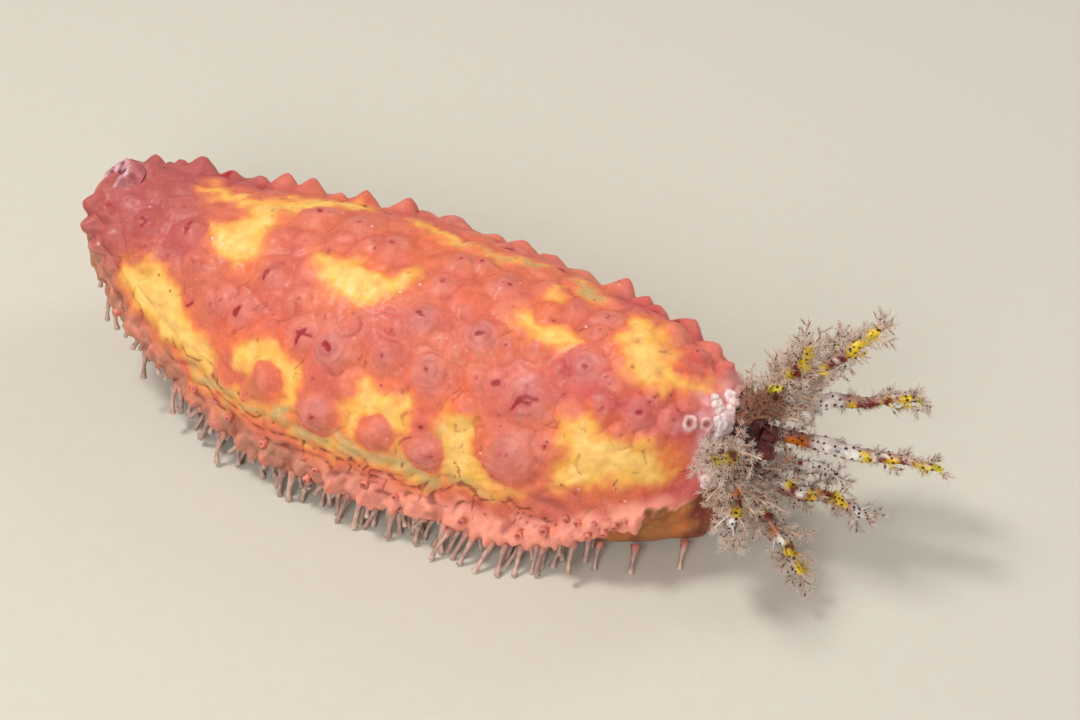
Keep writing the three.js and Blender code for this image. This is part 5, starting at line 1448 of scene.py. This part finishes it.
# One arm: a bent stem, (1-u)²·root + 2u(1-u)·middle + u²·tip, with limbs, sprigs and hairs.
def tentacle(number, arm):
    c = crown
    place, tipAt, bow, bush, blotches = arm
    turn = math.radians(place)
    out = np.array([0, -math.cos(turn), math.sin(turn)])
    root = mouthCentre + out * c["ring"] + [c["seat"], 0, 0]
    tip = mouthCentre + np.array(tipAt)
    middle = root + (tip - root) * 0.45 + out * bow + [c["ahead"], 0, 0]
    rings = c["stemRings"]
    u = np.linspace(0, 1, rings)[:, None]
    line = (1 - u) ** 2 * root + 2 * u * (1 - u) * middle + u**2 * tip
    line = line + np.stack([waves(u * 8, 4.0, 90 + number + k) for k in range(3)], -1) * 0.22 * np.sin(np.pi * u)
    draw = np.random.default_rng(300 + number)

    count = int(round(c["limbs"] * bush))
    step = np.arange(count) + 0.5 + draw.uniform(-0.3, 0.3, count)
    at = c["limbFrom"] + (1.0 - c["limbFrom"]) * (step / count) ** 1.2
    length = c["limbLength"] * (1 - 0.52 * at) * draw.uniform(0.65, 1.15, count) * bush
    # a bare length of the stem has only short limbs
    for low, high in blotches.get("bare", []):
        length = length * np.where((at > low) & (at < high), 0.4, 1)
    spin = c["goldenTurn"] * np.arange(count) + draw.uniform(-0.5, 0.5, count)
    limbs = branchOff(line[None], np.zeros(count, int), np.clip(at, 0, 0.995), spin,
                      draw.uniform(0.7, 1.15, count), length, 9)
    x, y, size = c["clear"]
    kept = np.linalg.norm(toPixels(limbs[:, 5]) - [x, y], axis=1) > size
    limbs, at = limbs[kept], at[kept]
    # the stem swells under its bright blotches
    swell = np.ones(rings)
    for key, spot, size in seatedBlotches(blotches, line):
        if key in ("gold", "white", "lime"):
            swell += 0.3 * np.exp(-(np.linalg.norm(toPixels(line) - spot, axis=1) / (1.3 * size)) ** 2)
    # the stem's own outer half grows sprigs too
    starts = np.linspace(0.08, 0.8, 8)
    own = np.stack([line[np.linspace(rings * s, min(rings * s + 8, rings - 1), 9).astype(int)] for s in starts])
    sprigs = sprout(np.concatenate([limbs, own]), c["sprigs"], c["sprigLength"] * bush, (0.7, 1.25),
                    5, 0.12, draw)[0]
    sprigs = sprigs[~inTheWay(sprigs, blotches, line, draw)]
    hairs, grower = sprout(sprigs, c["hairs"], c["hairLength"], (0.6, 1.2), 3, 0.08, draw)
    spotted = draw.random(len(sprigs)) < c["spotted"]

    thick = swell * linear(c["stemRadius"], u[:, 0])
    limbRadii = c["limbRadius"] * (1.15 - 0.5 * at)[:, None] * np.linspace(1, 0.4, 9)
    sprigRadii = np.full((len(sprigs), 1), c["sprigRadius"]) * np.linspace(1, 0.5, 5)
    hairRadii = np.full((len(hairs), 1), c["hairRadius"]) * [1.0, 0.8, 0.45]
    # of the stem, limbs, sprigs and hairs: paths, radii, sides, colours and share of the map
    levels = [
        (line[None], thick[None], 12, "base", "grey", 0.12),
        (limbs, limbRadii, 7, "grey", "hair", 0.2),
        (sprigs, sprigRadii, 4, "hair", "hair", 0.28),
        (hairs, hairRadii, 3, "hair", "hairTip", 0.34),
    ]
    groups = []
    for level, (paths, radii, sides, first, last, width) in enumerate(levels):
        steps = paths.shape[1]
        points = tubePoints(paths, radii, sides, 1.0)
        # nothing passes below the floor
        points[..., 2] = np.maximum(points[..., 2], c["floorGap"])
        reach = np.concatenate([np.repeat(np.linspace(0, 1, steps), sides), [0, 1]])[None] + 0 * points[..., 0]
        tint = blend(paint(*c[first]), paint(*c[last]), reach)
        # near the mouth everything is browner
        nearMouth = smooth(8.0, 3.5, np.linalg.norm(points - mouthCentre, axis=-1))
        tint = blend(tint, paint(*c["base"]), (0.75 if level == 0 else 0.4) * nearMouth)
        tint = tint * (1 + 0.12 * waves(points, 2.2, 96))[..., None]
        tint = blotched(points, tint, blotches, line, 1.0 if level < 2 else 0.9)
        # short dark lengths on some sprigs, and dark roots on their hairs
        if level > 1:
            chosen, centre = (spotted, 0.6) if level == 2 else (spotted[grower], 0.1)
            dark = chosen[:, None] * smooth(0.3, 0.15, np.abs(reach - centre))
            tint = blend(tint, paint(*c["wine"]), 0.95 * dark)
        groups.append((points, withSpecks(tint, [1.0, 0.8, 0.3, 0.0][level]), steps, sides, width))
    # dark beads on some sprigs, and flat dark dots in turning rows on the stem
    parentOf = draw.integers(0, len(sprigs), c["beads"])
    place, way = alongPaths(sprigs, parentOf, draw.uniform(0.2, 0.9, c["beads"]))
    groups.append(beads(place, way, c["beadRadius"] * draw.uniform(0.6, 1.3, c["beads"]), draw))
    lot = np.arange(c["dots"])
    share = 0.06 + 0.9 * (lot + 0.5) / c["dots"]
    place, way = alongPaths(line[None], np.zeros(c["dots"], int), share)
    across, other = squareTo(way, [0.1, 0.2, 1.0])
    spin = (1.2 * lot + 0.5 * vary(lot, 60 + number))[:, None]
    size = c["dotRadius"] * (1 + 0.35 * vary(lot, 61))
    sunk = (np.interp(share, u[:, 0], thick) - 0.4 * size)[:, None]
    groups.append(beads(place + (across * np.cos(spin) + other * np.sin(spin)) * sunk, way, size, draw))
    return tubePiece("arm_%d" % number, groups)


armFlesh = fleshMaterial("armFlesh", rgba(84, 24, 20), 1250.0, 0.5, weight=0.45, roughness=0.34, bumpHeight=0.00003)
faces = 0
for number, arm in enumerate(crown["arms"], 1):
    armPiece = tentacle(number, arm)
    armPiece.data.materials.append(armFlesh)
    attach(armPiece, "root")
    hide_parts("tentacle_%d" % number)
    faces += len(armPiece.data.polygons)
print("tentacles made:", faces, "faces")


# in metres: the floor's width, the lamps' aim, and each lamp's name, place, width, power and colour
stageSet = {
    "floor": 4.0, "dim": (206, 199, 186), "colour": (206, 201, 188), "world": 0.3, "aim": (0.01, 0.0, 0.012),
    "lamps": [
        ("key", (-0.22, -0.04, 0.5), 0.14, 1.74, (1.0, 0.97, 0.92)),
        ("fill", (0.12, -0.44, 0.32), 0.3, 1.62, (0.98, 0.99, 1.0)),
        ("rim", (0.3, 0.4, 0.3), 0.25, 0.78, (1.0, 0.98, 0.95)),
    ],
}


# A square floor, round lamps aimed at one point, and a soft grey world.
def studio():
    s = stageSet
    half = s["floor"] / 2
    mesh = bpy.data.meshes.new("studio_floor")
    mesh.from_pydata([(-half, -half, 0), (half, -half, 0), (half, half, 0), (-half, half, 0)], [], [(0, 1, 2, 3)])
    floor = bpy.data.objects.new("studio_floor", mesh)
    bpy.context.scene.collection.objects.link(floor)
    f = Finish("paleFloor")
    grain = f.noise(420, 4)
    colour = f.mixed(f.ramp(grain, 0.3, 0.7), rgba(*s["dim"]), rgba(*s["colour"]))
    mesh.materials.append(f.surface(colour, 0.85, grain, 0.15, 0.0004))
    for name, place, size, power, colour in s["lamps"]:
        data = bpy.data.lights.new(name, "AREA")
        data.shape, data.size, data.energy, data.color = "DISK", size, power, colour
        lamp = bpy.data.objects.new(name, data)
        lamp.location = place
        lamp.rotation_mode = "QUATERNION"
        lamp.rotation_quaternion = (Vector(s["aim"]) - Vector(place)).to_track_quat("-Z", "Y")
        bpy.context.scene.collection.objects.link(lamp)
    world = bpy.data.worlds.new("softRoom")
    world.use_nodes = True
    world.node_tree.nodes["Background"].inputs[0].default_value = (1.0, 0.985, 0.96, 1)
    world.node_tree.nodes["Background"].inputs[1].default_value = s["world"]
    bpy.context.scene.world = world


studio()
bpy.context.scene.view_settings.view_transform = "Standard"

place, right, up, ahead, scale = photoCamera()
cameraData = bpy.data.cameras.new("photo_camera")
cameraData.lens = photoView["lens"]
cameraData.sensor_width = photoView["sensor"]
cameraData.clip_start, cameraData.clip_end = 0.01, 20
camera = bpy.data.objects.new("photo_camera", cameraData)
camera.location = place * mm
camera.rotation_mode = "QUATERNION"
camera.rotation_quaternion = Vector(ahead).to_track_quat("-Z", "Y")
bpy.context.scene.collection.objects.link(camera)
bpy.context.scene.camera = camera
print("stage set")
